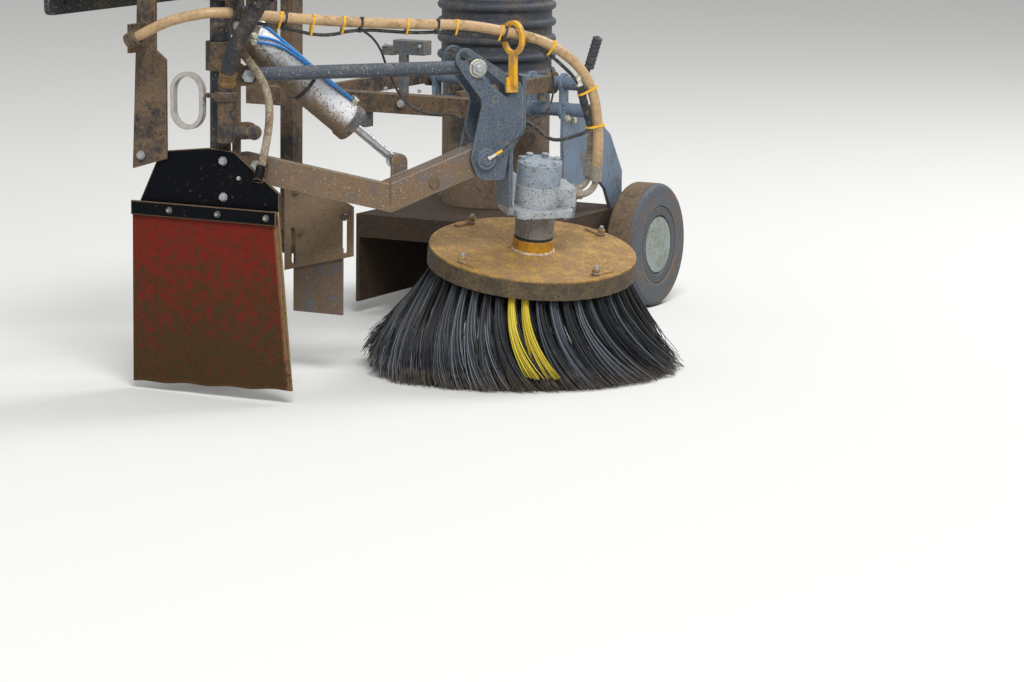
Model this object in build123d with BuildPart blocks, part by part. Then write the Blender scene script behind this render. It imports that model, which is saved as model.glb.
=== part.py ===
from build123d import *
import math
import os

# Side sweep gear of a road sweeper: a bracket on the chassis side carries a cranked arm and a
# tie rod, which hold a tilted gutter broom with its motor, and behind it a suction nozzle on
# two small wheels. Millimetres. +X points outboard, +Y to the rear and +Z up. The origin is
# the middle of the mounting face, which lies against the side of the chassis.

os.makedirs("parts", exist_ok=True)

GROUND_Z = -880.0

# Chassis plate and the rail along it
PLATE_LENGTH = 680.0
PLATE_HEIGHT = 200.0
PLATE_THICK = 12.0
MOUNT_SPACING_Y = 560.0
MOUNT_SPACING_Z = 140.0
MOUNT_HOLE_DIAMETER = 17.5
RAIL_WIDTH = 60.0
RAIL_HEIGHT = 100.0
RAIL_WALL = 5.0
RAIL_REAR_Y = 500.0
OUTRIGGER_WIDTH = 60.0
OUTRIGGER_HEIGHT = 80.0
OUTRIGGER_WALL = 5.0

# Linkage plane: vertical, and turned from outboard towards the rear
LINK_HEADING = 50.0
ARM_PIVOT = Vector(449.0, -237.0, -402.0)
ARM_REACH = 514.0
ARM_RISE = 2.0
ARM_KINK = (304.0, -76.0)
ARM_WIDTH = 55.0
ARM_DEPTH = 58.0
ARM_WALL = 5.0
TIE_SHIFT = -19.0
TIE_RISE = 195.0
TIE_DIAMETER = 30.0
TIE_SIDE = 12.0
TIE_EYE_DIAMETER = 36.0
TIE_EYE_WIDTH = 32.0
SIDE_CLEARANCE = 1.5
FIT_CLEARANCE = 0.1

# Kingpin post and the knuckle that carries the linkage
POST_OFFSET = 66.0
POST_DIAMETER = 44.0
POST_TOP_Z = -50.0
POST_BOTTOM_Z = -500.0
PAD_WIDTH = 60.0
KNUCKLE_THICK = 10.0
KNUCKLE_SLEEVE_WALL = 9.0
KNUCKLE_BAND_HEIGHT = 60.0
KNUCKLE_BOTTOM = -34.0
CHEEK_BACK = -50.0
CHEEK_FRONT = -34.0
ARM_PIN_DIAMETER = 24.0
TIE_PIN_DIAMETER = 18.0
PIN_OVERHANG = 6.0
PIN_HEAD_RATIO = 0.82
WASHER_RATIO = 0.95
WASHER_THICK = 3.0

# Lift cylinder
CYLINDER_PIN = (-20.0, 293.0)
ROD_EYE = (344.0, -6.0)
BARREL_DIAMETER = 76.0
BARREL_END = 34.0
BARREL_LENGTH = 262.0
BARREL_BORE = 60.0
BARREL_CAP_LENGTH = 18.0
BARREL_CAP_OVERSIZE = 3.0
BARREL_BASE_THICK = 12.0
ROD_DIAMETER = 20.0
ROD_INSIDE = 60.0
PISTON_THICK = 20.0
CYLINDER_PIN_DIAMETER = 18.0
CYLINDER_EYE_DIAMETER = 36.0
CYLINDER_EYE_WIDTH = 30.0
ROD_EYE_DIAMETER = 34.0
ROD_EYE_WIDTH = 22.0
ROD_PIN_DIAMETER = 14.0
ROD_PIN_PLAY = 4.5
ARM_LUG_THICK = 8.0
ARM_LUG_RADIUS = 18.0

# Broom head: places are given along and above the fork pivot, at the end of the arm
FORK_THICK = 8.0
FORK_GAP = 4.5
CARRIER_THICK = 8.0
CARRIER_LINE = [(89.0, 176.0), (89.0, 68.0), (60.0, 18.0), (60.0, -107.0)]
SLOT_WIDTH = 18.6
SLOT_ENDS = [(-53.0, 222.0), (49.0, 141.0)]
FORK_PIVOT_RADIUS = 33.0
FORK_FOOT_DROP = 46.0

# Broom: place of the disc from the fork pivot, its lean towards the kerb and its sizes
BROOM_AHEAD = 141.0
BROOM_DROP = -210.0
BROOM_SIDE = -30.0
BROOM_TILT = 10.25
DISC_DIAMETER = 452.0
DISC_THICK = 5.0
BLOCK_DIAMETER = 456.0
BLOCK_DEPTH = 37.0
BLOCK_HOLE_DIAMETER = 250.0
HUB_DIAMETER = 87.0
HUB_HEIGHT = 27.0
SHAFT_TOP = 80.0
CLIP_CIRCLE_RADIUS = 203.0
CLIP_START_ANGLE = 20.0
CLIP_LENGTH = 46.0
CLIP_WIDTH = 12.0
CLIP_THICK = 4.0
CLIP_NUT_RADIUS = 9.0
CLIP_NUT_HEIGHT = 14.0
BRISTLE_ROOT_DIAMETER = 430.0
BRISTLE_TIP_DIAMETER = 734.0
BRISTLE_LENGTH = 220.0
BRISTLE_CORE_WALL = 15.0
BRISTLE_CORE_INSET = 22.0
BRISTLE_GROUND_GAP = 2.0
TUFT_COUNT = 30
TUFT_ROOT_RADIUS = 15.0
TUFT_TIP_RADIUS = 30.0
TUFT_TRAIL_ANGLE = 14.0

# Broom motor
MOTOR_SHAFT_DIAMETER = 32.0
MOTOR_NOSE_DIAMETER = 88.0
MOTOR_NOSE_TIP_DIAMETER = 85.0
MOTOR_HUB_GAP = 2.0
FLANGE_BASE = 89.0
FLANGE_THICK = 15.0
FLANGE_WIDTH = 130.0
FLANGE_CORNER = 18.0
BRACKET_THICK = 12.0
BRACKET_HEIGHT = 78.0
BRACKET_WIDTH = 60.0
MOTOR_BODY_DIAMETER = 100.0
MOTOR_BODY_HEIGHT = 46.0
MOTOR_CAP_DIAMETER = 97.0
MOTOR_CAP_HEIGHT = 50.0
PORT_REACH = 76.0
PORT_BOSS_WIDTH = 72.0
PORT_SPACING = 40.0
PORT_HEX = 22.0
PORT_HEX_LENGTH = 20.0
ELBOW_RADIUS = 30.0
ELBOW_DIAMETER = 14.0
FERRULE_DIAMETER = 24.0
FERRULE_LENGTH = 35.0

# Front rubber flap and its bracket
FLAP_BRACKET_THICK = 6.0
FLAP_THICK = 8.0
STRIP_THICK = 6.0
STRIP_TOP_Z = -478.0
STRIP_HEIGHT = 30.0
FLAP_INNER_X = 217.0
FLAP_OUTER_X = 573.0
FLAP_FLARE = 34.0
FLAP_FOOT_RISE = 14.0
FLAP_GROUND_GAP = 15.0
BRACKET_SHOULDER = 36.0
BRACKET_CROWN = [(463.0, -361.0), (402.0, -357.0), (283.0, -371.0)]

# Slotted side plate and the channel post that carries it
CHANNEL_X = 374.0
CHANNEL_WIDTH = 32.0
CHANNEL_DEPTH = 40.0
CHANNEL_WALL = 5.0
CHANNEL_FRONT_Y = 6.0
CHANNEL_BOTTOM_Z = -620.0
SIDE_PLATE_THICK = 6.0
SIDE_SLOT_WIDTH = 13.0
LOWER_PLATE_TOP_Z = -600.0
LOWER_PLATE_BOTTOM_Z = -745.0
LOWER_PLATE_OUTER_X = 530.0

# Cross beam behind the broom and the shaft that the nozzle hangs from
CROSS_Y = 450.0
CROSS_WIDTH = 40.0
CROSS_TOP_Z = -313.0
CROSS_HEIGHT = 43.0
CROSS_OUTER_X = 605.0
CROSS_WALL = 5.0
SHAFT_Y = 950.0
SHAFT_Z = -320.0
SHAFT_DIAMETER = 32.0
SHAFT_INNER_X = 190.0
SHAFT_OUTER_X = 640.0
SHAFT_ARM_THICK = 12.0
SHAFT_ARM_HEIGHT = 36.0
SHAFT_ARM_XS = (210.0, 540.0)
SHAFT_EYE_WALL = 10.0

# Valves on the cross beam
VALVE_BLOCKS = [(371.0, 400.0, -225.0, -205.0), (400.0, 480.0, -222.0, -190.0)]
VALVE_LEG = (415.0, 432.0)
VALVE_DEPTH = 34.0
LOWER_VALVE = (278.0, 330.0)
LOWER_VALVE_HEIGHT = 36.0

# Suction nozzle
NOZZLE_INNER_X = 120.0
NOZZLE_OUTER_X = 590.0
NOZZLE_AHEAD = 180.0
NOZZLE_BEHIND = 290.0
NOZZLE_TOP_Z = -640.0
NOZZLE_GROUND_GAP = 30.0
NOZZLE_WALL = 8.0
NOZZLE_LIP_HEIGHT = 55.0
NOZZLE_ROOF_RIM = 26.0
AXLE_PLATE_LENGTH = 130.0
AXLE_PLATE_HEIGHT = 70.0
AXLE_PLATE_SHIFT = 40.0
AXLE_TIP_GAP = 10.0
LOWER_TUBE_DROP = 62.0
STRAP_THICK = 8.0
STRAP_WIDTH = 34.0
STRAP_GAP = 10.0
STRAP_PITCH = 92.0
STRAP_EYE_WALL = 8.0
NOZZLE_PLATE_THICK = 10.0
DUCT_X = 300.0
DUCT_BEHIND = 180.0
DUCT_DIAMETER = 260.0
DUCT_WALL = 6.0
DUCT_TOP_Z = -340.0
SLEEVE_DIAMETER = 286.0
SLEEVE_TOP_Z = -140.0
SLEEVE_RIB_COUNT = 5
SLEEVE_RIB_RADIUS = 10.0

# Jockey wheels
WHEEL_DIAMETER = 296.0
WHEEL_WIDTH = 74.0
WHEEL_BEHIND = 300.0
WHEEL_HUB_DIAMETER = 190.0
WHEEL_CAP_DIAMETER = 134.0
TYRE_SHOULDER_RADIUS = 12.0
HUB_INSET = 6.0
HUB_FACE_DEPTH = 8.0
HUB_BOSS_DIAMETER = 58.0
WHEEL_GAP = 21.0
WHEEL_GROUND_GAP = 2.0
AXLE_DIAMETER = 30.0

# Hoses and the strap that holds them up
HOSE_DIAMETER = 22.0
SECOND_HOSE_DIAMETER = 19.0
HOSE_LEAD = 50.0
HANGER_AT = (57.0, 259.0)
HANGER_HOSE_RISE = 10.0
HANGER_WIDTH = 70.0
HANGER_HEIGHT = 74.0
HANGER_BAR = 9.0
HANGER_THICK = 10.0
HANGER_TURN = 16.0
HANGER_STANDOFF = 12.0
FOOT_TOP = 174.0
FOOT_HEIGHT = 32.0
FOOT_WIDTH = 26.0
SHANK_WIDTH = 20.0
GLAND_LENGTH = 32.0
GLAND_WALL = 6.0
GLAND_TAB_WIDTH = 24.0
SHELF_Z = -36.0
SHELF_THICK = 8.0

# Feed pipe: hose from above into an upright barrel, whose elbow leads into the knuckle
FEED_HOSE_DIAMETER = 34.0
FEED_BARREL_AT = (-72.5, 58.0)
FEED_BARREL_DIAMETER = 37.0
FEED_BARREL_TOP = 165.0
FEED_COLLAR_DIAMETER = 48.0
FEED_COLLAR_THICK = 17.0
FEED_BARREL_FOOT = 20.0
FEED_FITTING_DIAMETER = 36.0
FEED_FITTING_LENGTH = 22.0
FEED_LEAN = Vector(9.0, -9.0, 27.0)
FEED_PIPE_DIAMETER = 27.0
FEED_ELBOW_DIAMETER = 32.0
FEED_PORT = (-16.0, 80.0)
FEED_PORT_BORE = 14.0
FEED_STAY_BOTTOM = 105.0
FEED_STAY_HEIGHT = 30.0
FEED_GLAND_LENGTH = 24.0
RING_CENTRE = (357.0, -335.0, -260.0)
RING_WIDTH = 80.0
RING_HEIGHT = 120.0
RING_BAR = 9.0
RING_THICK = 14.0

# Spray hose in front of the knuckle
SPRAY_HOSE_DIAMETER = 17.0
SPRAY_FITTING_DIAMETER = 20.0
SPRAY_ELBOW = (-42.0, 250.0)
SPRAY_ELBOW_DEPTH = 30.0
SPRAY_TAIL = 21.0
SPRAY_TAIL_ANGLE = -50.0
SPRAY_END = (-12.0, 14.0, 107.0)
SPRAY_END_RUN = (-12.0, -30.0, 12.0)
SPRAY_END_LENGTH = 34.0

# Stay plate on the flap bracket, which holds the inner end of the long hose
STAY_THICK = 8.0
STAY_OUTLINE = [
    (232.0, -10.0),
    (275.0, -10.0),
    (275.0, -159.0),
    (300.0, -178.0),
    (301.0, -386.0),
    (218.0, -411.0),
]
STAY_SPACER_HEIGHT = 30.0
LEAD_FIRST_RUN = 62.0
LEAD_BENDS = [Vector(385.7, -379.7, -79.2), Vector(328.0, -394.6, -97.0)]
LEAD_END = Vector(273.0, -395.9, -126.0)
LEAD_GLAND_LENGTH = 26.0
LEAD_LUG_HEIGHT = 60.0

# Directions and planes that follow from the sizes above
heading = math.radians(LINK_HEADING)
along = Vector(math.cos(heading), math.sin(heading), 0)
aside = Vector(math.sin(heading), -math.cos(heading), 0)
LINK = Plane(origin=ARM_PIVOT, x_dir=along, z_dir=aside)

tilt = math.radians(BROOM_TILT)
broom_axis = Vector(0, 0, 1) * math.cos(tilt) + aside * math.sin(tilt)
broom_centre = (
    ARM_PIVOT
    + along * (ARM_REACH + BROOM_AHEAD)
    + aside * BROOM_SIDE
    + Vector(0, 0, ARM_RISE + BROOM_DROP)
)
BROOM = Plane(origin=broom_centre, x_dir=along, z_dir=broom_axis)

fork_pivot = (ARM_REACH, ARM_RISE)
tie_root = (TIE_SHIFT, TIE_RISE)
tie_head = (ARM_REACH + TIE_SHIFT, ARM_RISE + TIE_RISE)
post_centre = ARM_PIVOT - along * POST_OFFSET
arm_half = ARM_WIDTH / 2
knuckle_inner = arm_half + SIDE_CLEARANCE
knuckle_outer = knuckle_inner + KNUCKLE_THICK
fork_inner = arm_half + FORK_GAP
fork_outer = fork_inner + FORK_THICK
cylinder_side = -(knuckle_outer + SIDE_CLEARANCE + CYLINDER_EYE_WIDTH / 2)
rail_outer_x = PLATE_THICK + RAIL_WIDTH
nozzle_front_y = SHAFT_Y - NOZZLE_AHEAD
nozzle_rear_y = SHAFT_Y + NOZZLE_BEHIND
duct_y = SHAFT_Y + DUCT_BEHIND
wheel_y = SHAFT_Y + WHEEL_BEHIND


def band(points, thickness):
    """Outline of a flat bar bent along a line: its left side, then its right side reversed."""
    left, right = [], []
    count = len(points)
    for index, (x, y) in enumerate(points):
        before = points[max(index - 1, 0)]
        after = points[min(index + 1, count - 1)]
        first = math.atan2(y - before[1], x - before[0]) if index else None
        second = math.atan2(after[1] - y, after[0] - x) if index < count - 1 else None
        first = second if first is None else first
        second = first if second is None else second
        middle = (first + second) / 2
        reach = thickness / 2 / math.cos((second - first) / 2)
        left.append((x - math.sin(middle) * reach, y + math.cos(middle) * reach))
        right.append((x + math.sin(middle) * reach, y - math.cos(middle) * reach))
    return left, right


def link_point(u, v, side=0.0):
    """Place in the part's frame of a point given along, above and beside the arm pivot."""
    return ARM_PIVOT + along * u + Vector(0, 0, v) + aside * side


def from_fork(points):
    """Places given from the fork pivot, moved to count from the arm pivot."""
    return [(ARM_REACH + u, ARM_RISE + v) for u, v in points]


# Chassis plate: flat steel with four bolt holes, two at each end
with BuildPart() as chassis_plate:
    with BuildSketch(Plane.YZ):
        RectangleRounded(PLATE_LENGTH, PLATE_HEIGHT, 16)
        with GridLocations(MOUNT_SPACING_Y, MOUNT_SPACING_Z, 2, 2):
            Circle(MOUNT_HOLE_DIAMETER / 2, mode=Mode.SUBTRACT)
    extrude(amount=PLATE_THICK)
chassis_plate.part.label = "chassis_plate"
export_step(chassis_plate.part, "parts/chassis_plate.step")

# Side rail: box section welded to the plate and running on to the rear
rail_front_y = -PLATE_LENGTH / 2
rail_length = RAIL_REAR_Y - rail_front_y
with BuildPart() as side_rail:
    with BuildSketch(Plane.XZ.offset(-rail_front_y)):
        with Locations((PLATE_THICK + RAIL_WIDTH / 2, 0)):
            Rectangle(RAIL_WIDTH, RAIL_HEIGHT)
            Rectangle(RAIL_WIDTH - 2 * RAIL_WALL, RAIL_HEIGHT - 2 * RAIL_WALL, mode=Mode.SUBTRACT)
    extrude(amount=-rail_length)
side_rail.part.label = "side_rail"
export_step(side_rail.part, "parts/side_rail.step")

# Outriggers: two box beams from the rail to the kingpin post and to the channel post
outrigger_ends = [
    ("outrigger_front", post_centre.Y, post_centre.X + OUTRIGGER_WIDTH / 2),
    ("outrigger_rear", CHANNEL_FRONT_Y + CHANNEL_DEPTH / 2, CHANNEL_X + CHANNEL_WIDTH + 10),
]
outrigger_centre_z = POST_TOP_Z + OUTRIGGER_HEIGHT / 2
for node, beam_y, beam_end in outrigger_ends:
    with BuildPart() as outrigger:
        with BuildSketch(Plane.YZ.offset(rail_outer_x)):
            with Locations((beam_y, outrigger_centre_z)):
                Rectangle(OUTRIGGER_WIDTH, OUTRIGGER_HEIGHT)
        extrude(amount=beam_end - rail_outer_x)
        with BuildSketch(Plane.YZ.offset(rail_outer_x)):
            with Locations((beam_y, outrigger_centre_z)):
                Rectangle(OUTRIGGER_WIDTH - 2 * OUTRIGGER_WALL, OUTRIGGER_HEIGHT - 2 * OUTRIGGER_WALL)
        extrude(amount=beam_end - rail_outer_x - OUTRIGGER_WALL, mode=Mode.SUBTRACT)
    outrigger.part.label = node
    export_step(outrigger.part, f"parts/{node}.step")

# Kingpin post: round bar hanging from the front outrigger, with a pad for the flap bracket
flap_back_y = post_centre.Y - POST_DIAMETER / 2 - KNUCKLE_SLEEVE_WALL - SIDE_CLEARANCE
pad_top_z = ARM_PIVOT.Z + KNUCKLE_BOTTOM - SIDE_CLEARANCE
with BuildPart() as kingpin_post:
    with BuildSketch(Plane((post_centre.X, post_centre.Y, POST_BOTTOM_Z))):
        Circle(POST_DIAMETER / 2)
    extrude(amount=POST_TOP_Z - POST_BOTTOM_Z)
    with BuildSketch(Plane.XZ.offset(-flap_back_y)):
        with Locations((post_centre.X, (POST_BOTTOM_Z + pad_top_z) / 2)):
            Rectangle(PAD_WIDTH, pad_top_z - POST_BOTTOM_Z)
    extrude(amount=-(post_centre.Y - flap_back_y))
kingpin_post.part.label = "kingpin_post"
export_step(kingpin_post.part, "parts/kingpin_post.step")

# Knuckle: two bands clamped round the post and two cheeks that hold the linkage's pins
arm_ear = (0.0, 0.0, 27.0, ARM_PIN_DIAMETER)
tie_ear = (TIE_SHIFT, TIE_RISE, 21.0, TIE_PIN_DIAMETER)
cylinder_ear = (*CYLINDER_PIN, 18.0, CYLINDER_PIN_DIAMETER)
port_ear = (*FEED_PORT, 18.0, FEED_PORT_BORE)
near_top = TIE_RISE + 70
band_bottoms = (KNUCKLE_BOTTOM, near_top - KNUCKLE_BAND_HEIGHT)
spray_elbow = link_point(*SPRAY_ELBOW, knuckle_outer + SPRAY_ELBOW_DEPTH - SPRAY_FITTING_DIAMETER / 2)
tail_angle = math.radians(SPRAY_TAIL_ANGLE)
spray_run = along * math.cos(tail_angle) + Vector(0, 0, math.sin(tail_angle))
spray_start = spray_elbow + spray_run * SPRAY_TAIL
with BuildPart() as knuckle:
    for start, ears, cheek_top in (
        (knuckle_inner, (arm_ear, tie_ear, port_ear), near_top),
        (-knuckle_outer, (arm_ear, tie_ear, cylinder_ear), CYLINDER_PIN[1] + 18),
    ):
        with BuildSketch(LINK.offset(start)):
            with Locations(((CHEEK_FRONT + CHEEK_BACK) / 2, (KNUCKLE_BOTTOM + cheek_top) / 2)):
                Rectangle(CHEEK_FRONT - CHEEK_BACK, cheek_top - KNUCKLE_BOTTOM)
            for ear_u, ear_v, ear_radius, pin in ears:
                with Locations((ear_u, ear_v)):
                    Circle(ear_radius)
                with Locations(((ear_u + CHEEK_FRONT) / 2, ear_v)):
                    Rectangle(ear_u - CHEEK_FRONT, 2 * ear_radius)
            for ear_u, ear_v, ear_radius, pin in ears:
                with Locations((ear_u, ear_v)):
                    Circle(pin / 2, mode=Mode.SUBTRACT)
        extrude(amount=KNUCKLE_THICK)
    for band_bottom in band_bottoms:
        band_plane = Plane(link_point(-POST_OFFSET, band_bottom), x_dir=along, z_dir=(0, 0, 1))
        with BuildSketch(band_plane):
            Circle(POST_DIAMETER / 2 + KNUCKLE_SLEEVE_WALL)
            with Locations((CHEEK_BACK + POST_OFFSET - 4, 0)):
                Rectangle(12, 2 * knuckle_outer)
            Circle(POST_DIAMETER / 2, mode=Mode.SUBTRACT)
        extrude(amount=KNUCKLE_BAND_HEIGHT)
    with BuildSketch(LINK.offset(knuckle_outer)):
        with Locations(SPRAY_ELBOW):
            Circle(SPRAY_FITTING_DIAMETER / 2)
    extrude(amount=SPRAY_ELBOW_DEPTH)
    with BuildSketch(Plane(origin=spray_elbow, z_dir=spray_run)):
        Circle(SPRAY_HOSE_DIAMETER / 2)
    extrude(amount=SPRAY_TAIL)
knuckle.part.label = "knuckle"
export_step(knuckle.part, "parts/knuckle.step")

# Knuckle pins: two across both cheeks, and a stub for the lift cylinder on the far cheek
pin_reach = knuckle_outer + PIN_OVERHANG
stub_end = cylinder_side - CYLINDER_EYE_WIDTH / 2 - SIDE_CLEARANCE
for node, (pin_u, pin_v, ear_radius, pin_diameter), pin_start, pin_end in (
    ("arm_root_pin", arm_ear, knuckle_outer, -pin_reach),
    ("tie_root_pin", tie_ear, knuckle_outer, -pin_reach),
    ("cylinder_top_pin", cylinder_ear, stub_end, -knuckle_inner),
):
    head_side = 1 if pin_start > 0 else -1
    with BuildPart() as knuckle_pin:
        with BuildSketch(LINK.offset(pin_end)):
            with Locations((pin_u, pin_v)):
                Circle(pin_diameter / 2)
        extrude(amount=pin_start - pin_end)
        with BuildSketch(LINK.offset(pin_start)):
            with Locations((pin_u, pin_v)):
                RegularPolygon(pin_diameter * PIN_HEAD_RATIO, 6)
        extrude(amount=head_side * PIN_OVERHANG)
    knuckle_pin.part.label = node
    export_step(knuckle_pin.part, f"parts/{node}.step")

# Feed barrel: upright pipe beside the post with a collar, an elbow into the knuckle's near
# cheek, a stay back to the post and a flat ring for tying hoses to
barrel_u, barrel_side = FEED_BARREL_AT
port_u, port_v = FEED_PORT
feed_foot = link_point(barrel_u, FEED_BARREL_TOP, barrel_side)
feed_lean = FEED_LEAN.normalized()
ring_bore = (RING_HEIGHT - 2 * RING_BAR, RING_WIDTH - 2 * RING_BAR)
with BuildPart() as feed_barrel:
    with BuildSketch(Plane(link_point(barrel_u, port_v - FEED_BARREL_FOOT, barrel_side))):
        Circle(FEED_BARREL_DIAMETER / 2)
    extrude(amount=FEED_BARREL_TOP - port_v + FEED_BARREL_FOOT)
    with BuildSketch(Plane(link_point(barrel_u, FEED_BARREL_TOP - FEED_COLLAR_THICK, barrel_side))):
        Circle(FEED_COLLAR_DIAMETER / 2)
    extrude(amount=FEED_COLLAR_THICK)
    feed_root = 0.56 * FEED_COLLAR_THICK
    with BuildSketch(Plane(origin=feed_foot - feed_lean * feed_root, z_dir=feed_lean)):
        Circle(FEED_FITTING_DIAMETER / 2)
    extrude(amount=FEED_FITTING_LENGTH + feed_root)
    with BuildSketch(Plane(origin=link_point(barrel_u, port_v, barrel_side), z_dir=along)):
        Circle(FEED_PIPE_DIAMETER / 2)
    extrude(amount=port_u - barrel_u)
    with BuildSketch(LINK.offset(knuckle_outer)):
        with Locations(FEED_PORT):
            Circle(FEED_ELBOW_DIAMETER / 2)
    extrude(amount=barrel_side - knuckle_outer + FEED_ELBOW_DIAMETER / 2)
    with BuildSketch(LINK.offset(knuckle_inner)):
        with Locations(FEED_PORT):
            Circle(FEED_PORT_BORE / 2)
    extrude(amount=KNUCKLE_THICK)
    stay_middle = link_point((barrel_u - POST_OFFSET) / 2, FEED_STAY_BOTTOM, barrel_side / 2)
    with BuildSketch(Plane(stay_middle, x_dir=along)):
        Rectangle(FEED_BARREL_DIAMETER / 2, barrel_side)
    extrude(amount=FEED_STAY_HEIGHT)
    with BuildSketch(Plane(link_point(-POST_OFFSET, FEED_STAY_BOTTOM))):
        Circle(POST_DIAMETER / 2)
    extrude(amount=FEED_STAY_HEIGHT, mode=Mode.SUBTRACT)
    with BuildSketch(Plane.XZ.offset(-RING_CENTRE[1] - RING_THICK / 2)):
        with Locations((RING_CENTRE[0], RING_CENTRE[2])):
            SlotOverall(RING_HEIGHT, RING_WIDTH, rotation=90)
            SlotOverall(ring_bore[0], ring_bore[1], rotation=90, mode=Mode.SUBTRACT)
        ring_edge = RING_CENTRE[0] + RING_WIDTH / 2
        with Locations(((ring_edge - RING_BAR + feed_foot.X) / 2, feed_foot.Z - RING_BAR)):
            Rectangle(feed_foot.X - ring_edge + RING_BAR, RING_BAR)
    extrude(amount=RING_THICK)
feed_barrel.part.label = "feed_barrel"
export_step(feed_barrel.part, "parts/feed_barrel.step")

# Cranked arm: box section bent down at the kink, with a cross bush at each end and two lugs
arm_left, arm_right = band([(0, 0), ARM_KINK, fork_pivot], ARM_DEPTH)
bore_left, bore_right = band([(0, 0), ARM_KINK, fork_pivot], ARM_DEPTH - 2 * ARM_WALL)
lug_face = -arm_half - ARM_LUG_THICK
lug_boss_end = cylinder_side + ROD_EYE_WIDTH / 2 + SIDE_CLEARANCE
lug_pin_end = cylinder_side - ROD_EYE_WIDTH / 2 - SIDE_CLEARANCE
with BuildPart() as arm:
    with BuildSketch(LINK.offset(-arm_half)):
        with BuildLine():
            Polyline(*arm_left, *reversed(arm_right), close=True)
        make_face()
        with Locations((0, 0), fork_pivot):
            Circle(ARM_DEPTH / 2)
    extrude(amount=ARM_WIDTH)
    with BuildSketch(LINK.offset(-arm_half + ARM_WALL)):
        with BuildLine():
            Polyline(*bore_left, *reversed(bore_right), close=True)
        make_face()
        with Locations((0, 0), fork_pivot):
            Circle(ARM_DEPTH / 2 + 2, mode=Mode.SUBTRACT)
    extrude(amount=ARM_WIDTH - 2 * ARM_WALL, mode=Mode.SUBTRACT)
    with BuildSketch(LINK.offset(lug_face)):
        with Locations(ROD_EYE):
            Circle(ARM_LUG_RADIUS)
        with Locations((ROD_EYE[0], ROD_EYE[1] - ARM_DEPTH / 2)):
            Rectangle(2 * ARM_LUG_RADIUS, ARM_DEPTH)
    extrude(amount=ARM_LUG_THICK)
    with BuildSketch(LINK.offset(lug_boss_end)):
        with Locations(ROD_EYE):
            Circle(ROD_PIN_DIAMETER / 2 + 6)
    extrude(amount=lug_face - lug_boss_end)
    with BuildSketch(LINK.offset(lug_pin_end)):
        with Locations(ROD_EYE):
            Circle(ROD_PIN_DIAMETER / 2)
    extrude(amount=lug_boss_end - lug_pin_end)
    with BuildSketch(LINK.offset(lug_pin_end - 5)):
        with Locations(ROD_EYE):
            RegularPolygon(ROD_PIN_DIAMETER, 6)
    extrude(amount=5)
    with BuildSketch(LINK.offset(-fork_inner + SIDE_CLEARANCE)):
        with Locations(fork_pivot):
            Circle(ARM_PIN_DIAMETER / 2 + 9)
    extrude(amount=2 * (fork_inner - SIDE_CLEARANCE))
    with BuildSketch(LINK.offset(-fork_inner)):
        with Locations((0, 0), fork_pivot):
            Circle(ARM_PIN_DIAMETER / 2 + FIT_CLEARANCE)
    extrude(amount=2 * fork_inner, mode=Mode.SUBTRACT)
arm.part.label = "arm"
export_step(arm.part, "parts/arm.step")

# Tie rod: round bar above the arm with an eye at each end, beside the lift cylinder
tie_angle = math.degrees(math.atan2(tie_head[1] - tie_root[1], tie_head[0] - tie_root[0]))
tie_direction = along * math.cos(math.radians(tie_angle)) + Vector(0, 0, math.sin(math.radians(tie_angle)))
TIE = Plane(origin=link_point(*tie_root, TIE_SIDE), x_dir=aside, z_dir=tie_direction)
with BuildPart() as tie_rod:
    with BuildSketch(TIE):
        Circle(TIE_DIAMETER / 2)
    extrude(amount=ARM_REACH)
    with BuildSketch(LINK.offset(TIE_SIDE - TIE_EYE_WIDTH / 2)):
        with Locations(tie_root, tie_head):
            Circle(TIE_EYE_DIAMETER / 2)
    extrude(amount=TIE_EYE_WIDTH)
    with BuildSketch(LINK.offset(TIE_SIDE - TIE_EYE_WIDTH / 2)):
        with Locations(tie_root, tie_head):
            Circle(TIE_PIN_DIAMETER / 2 + FIT_CLEARANCE)
    extrude(amount=TIE_EYE_WIDTH, mode=Mode.SUBTRACT)
tie_rod.part.label = "tie_rod"
export_step(tie_rod.part, "parts/tie_rod.step")

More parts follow.
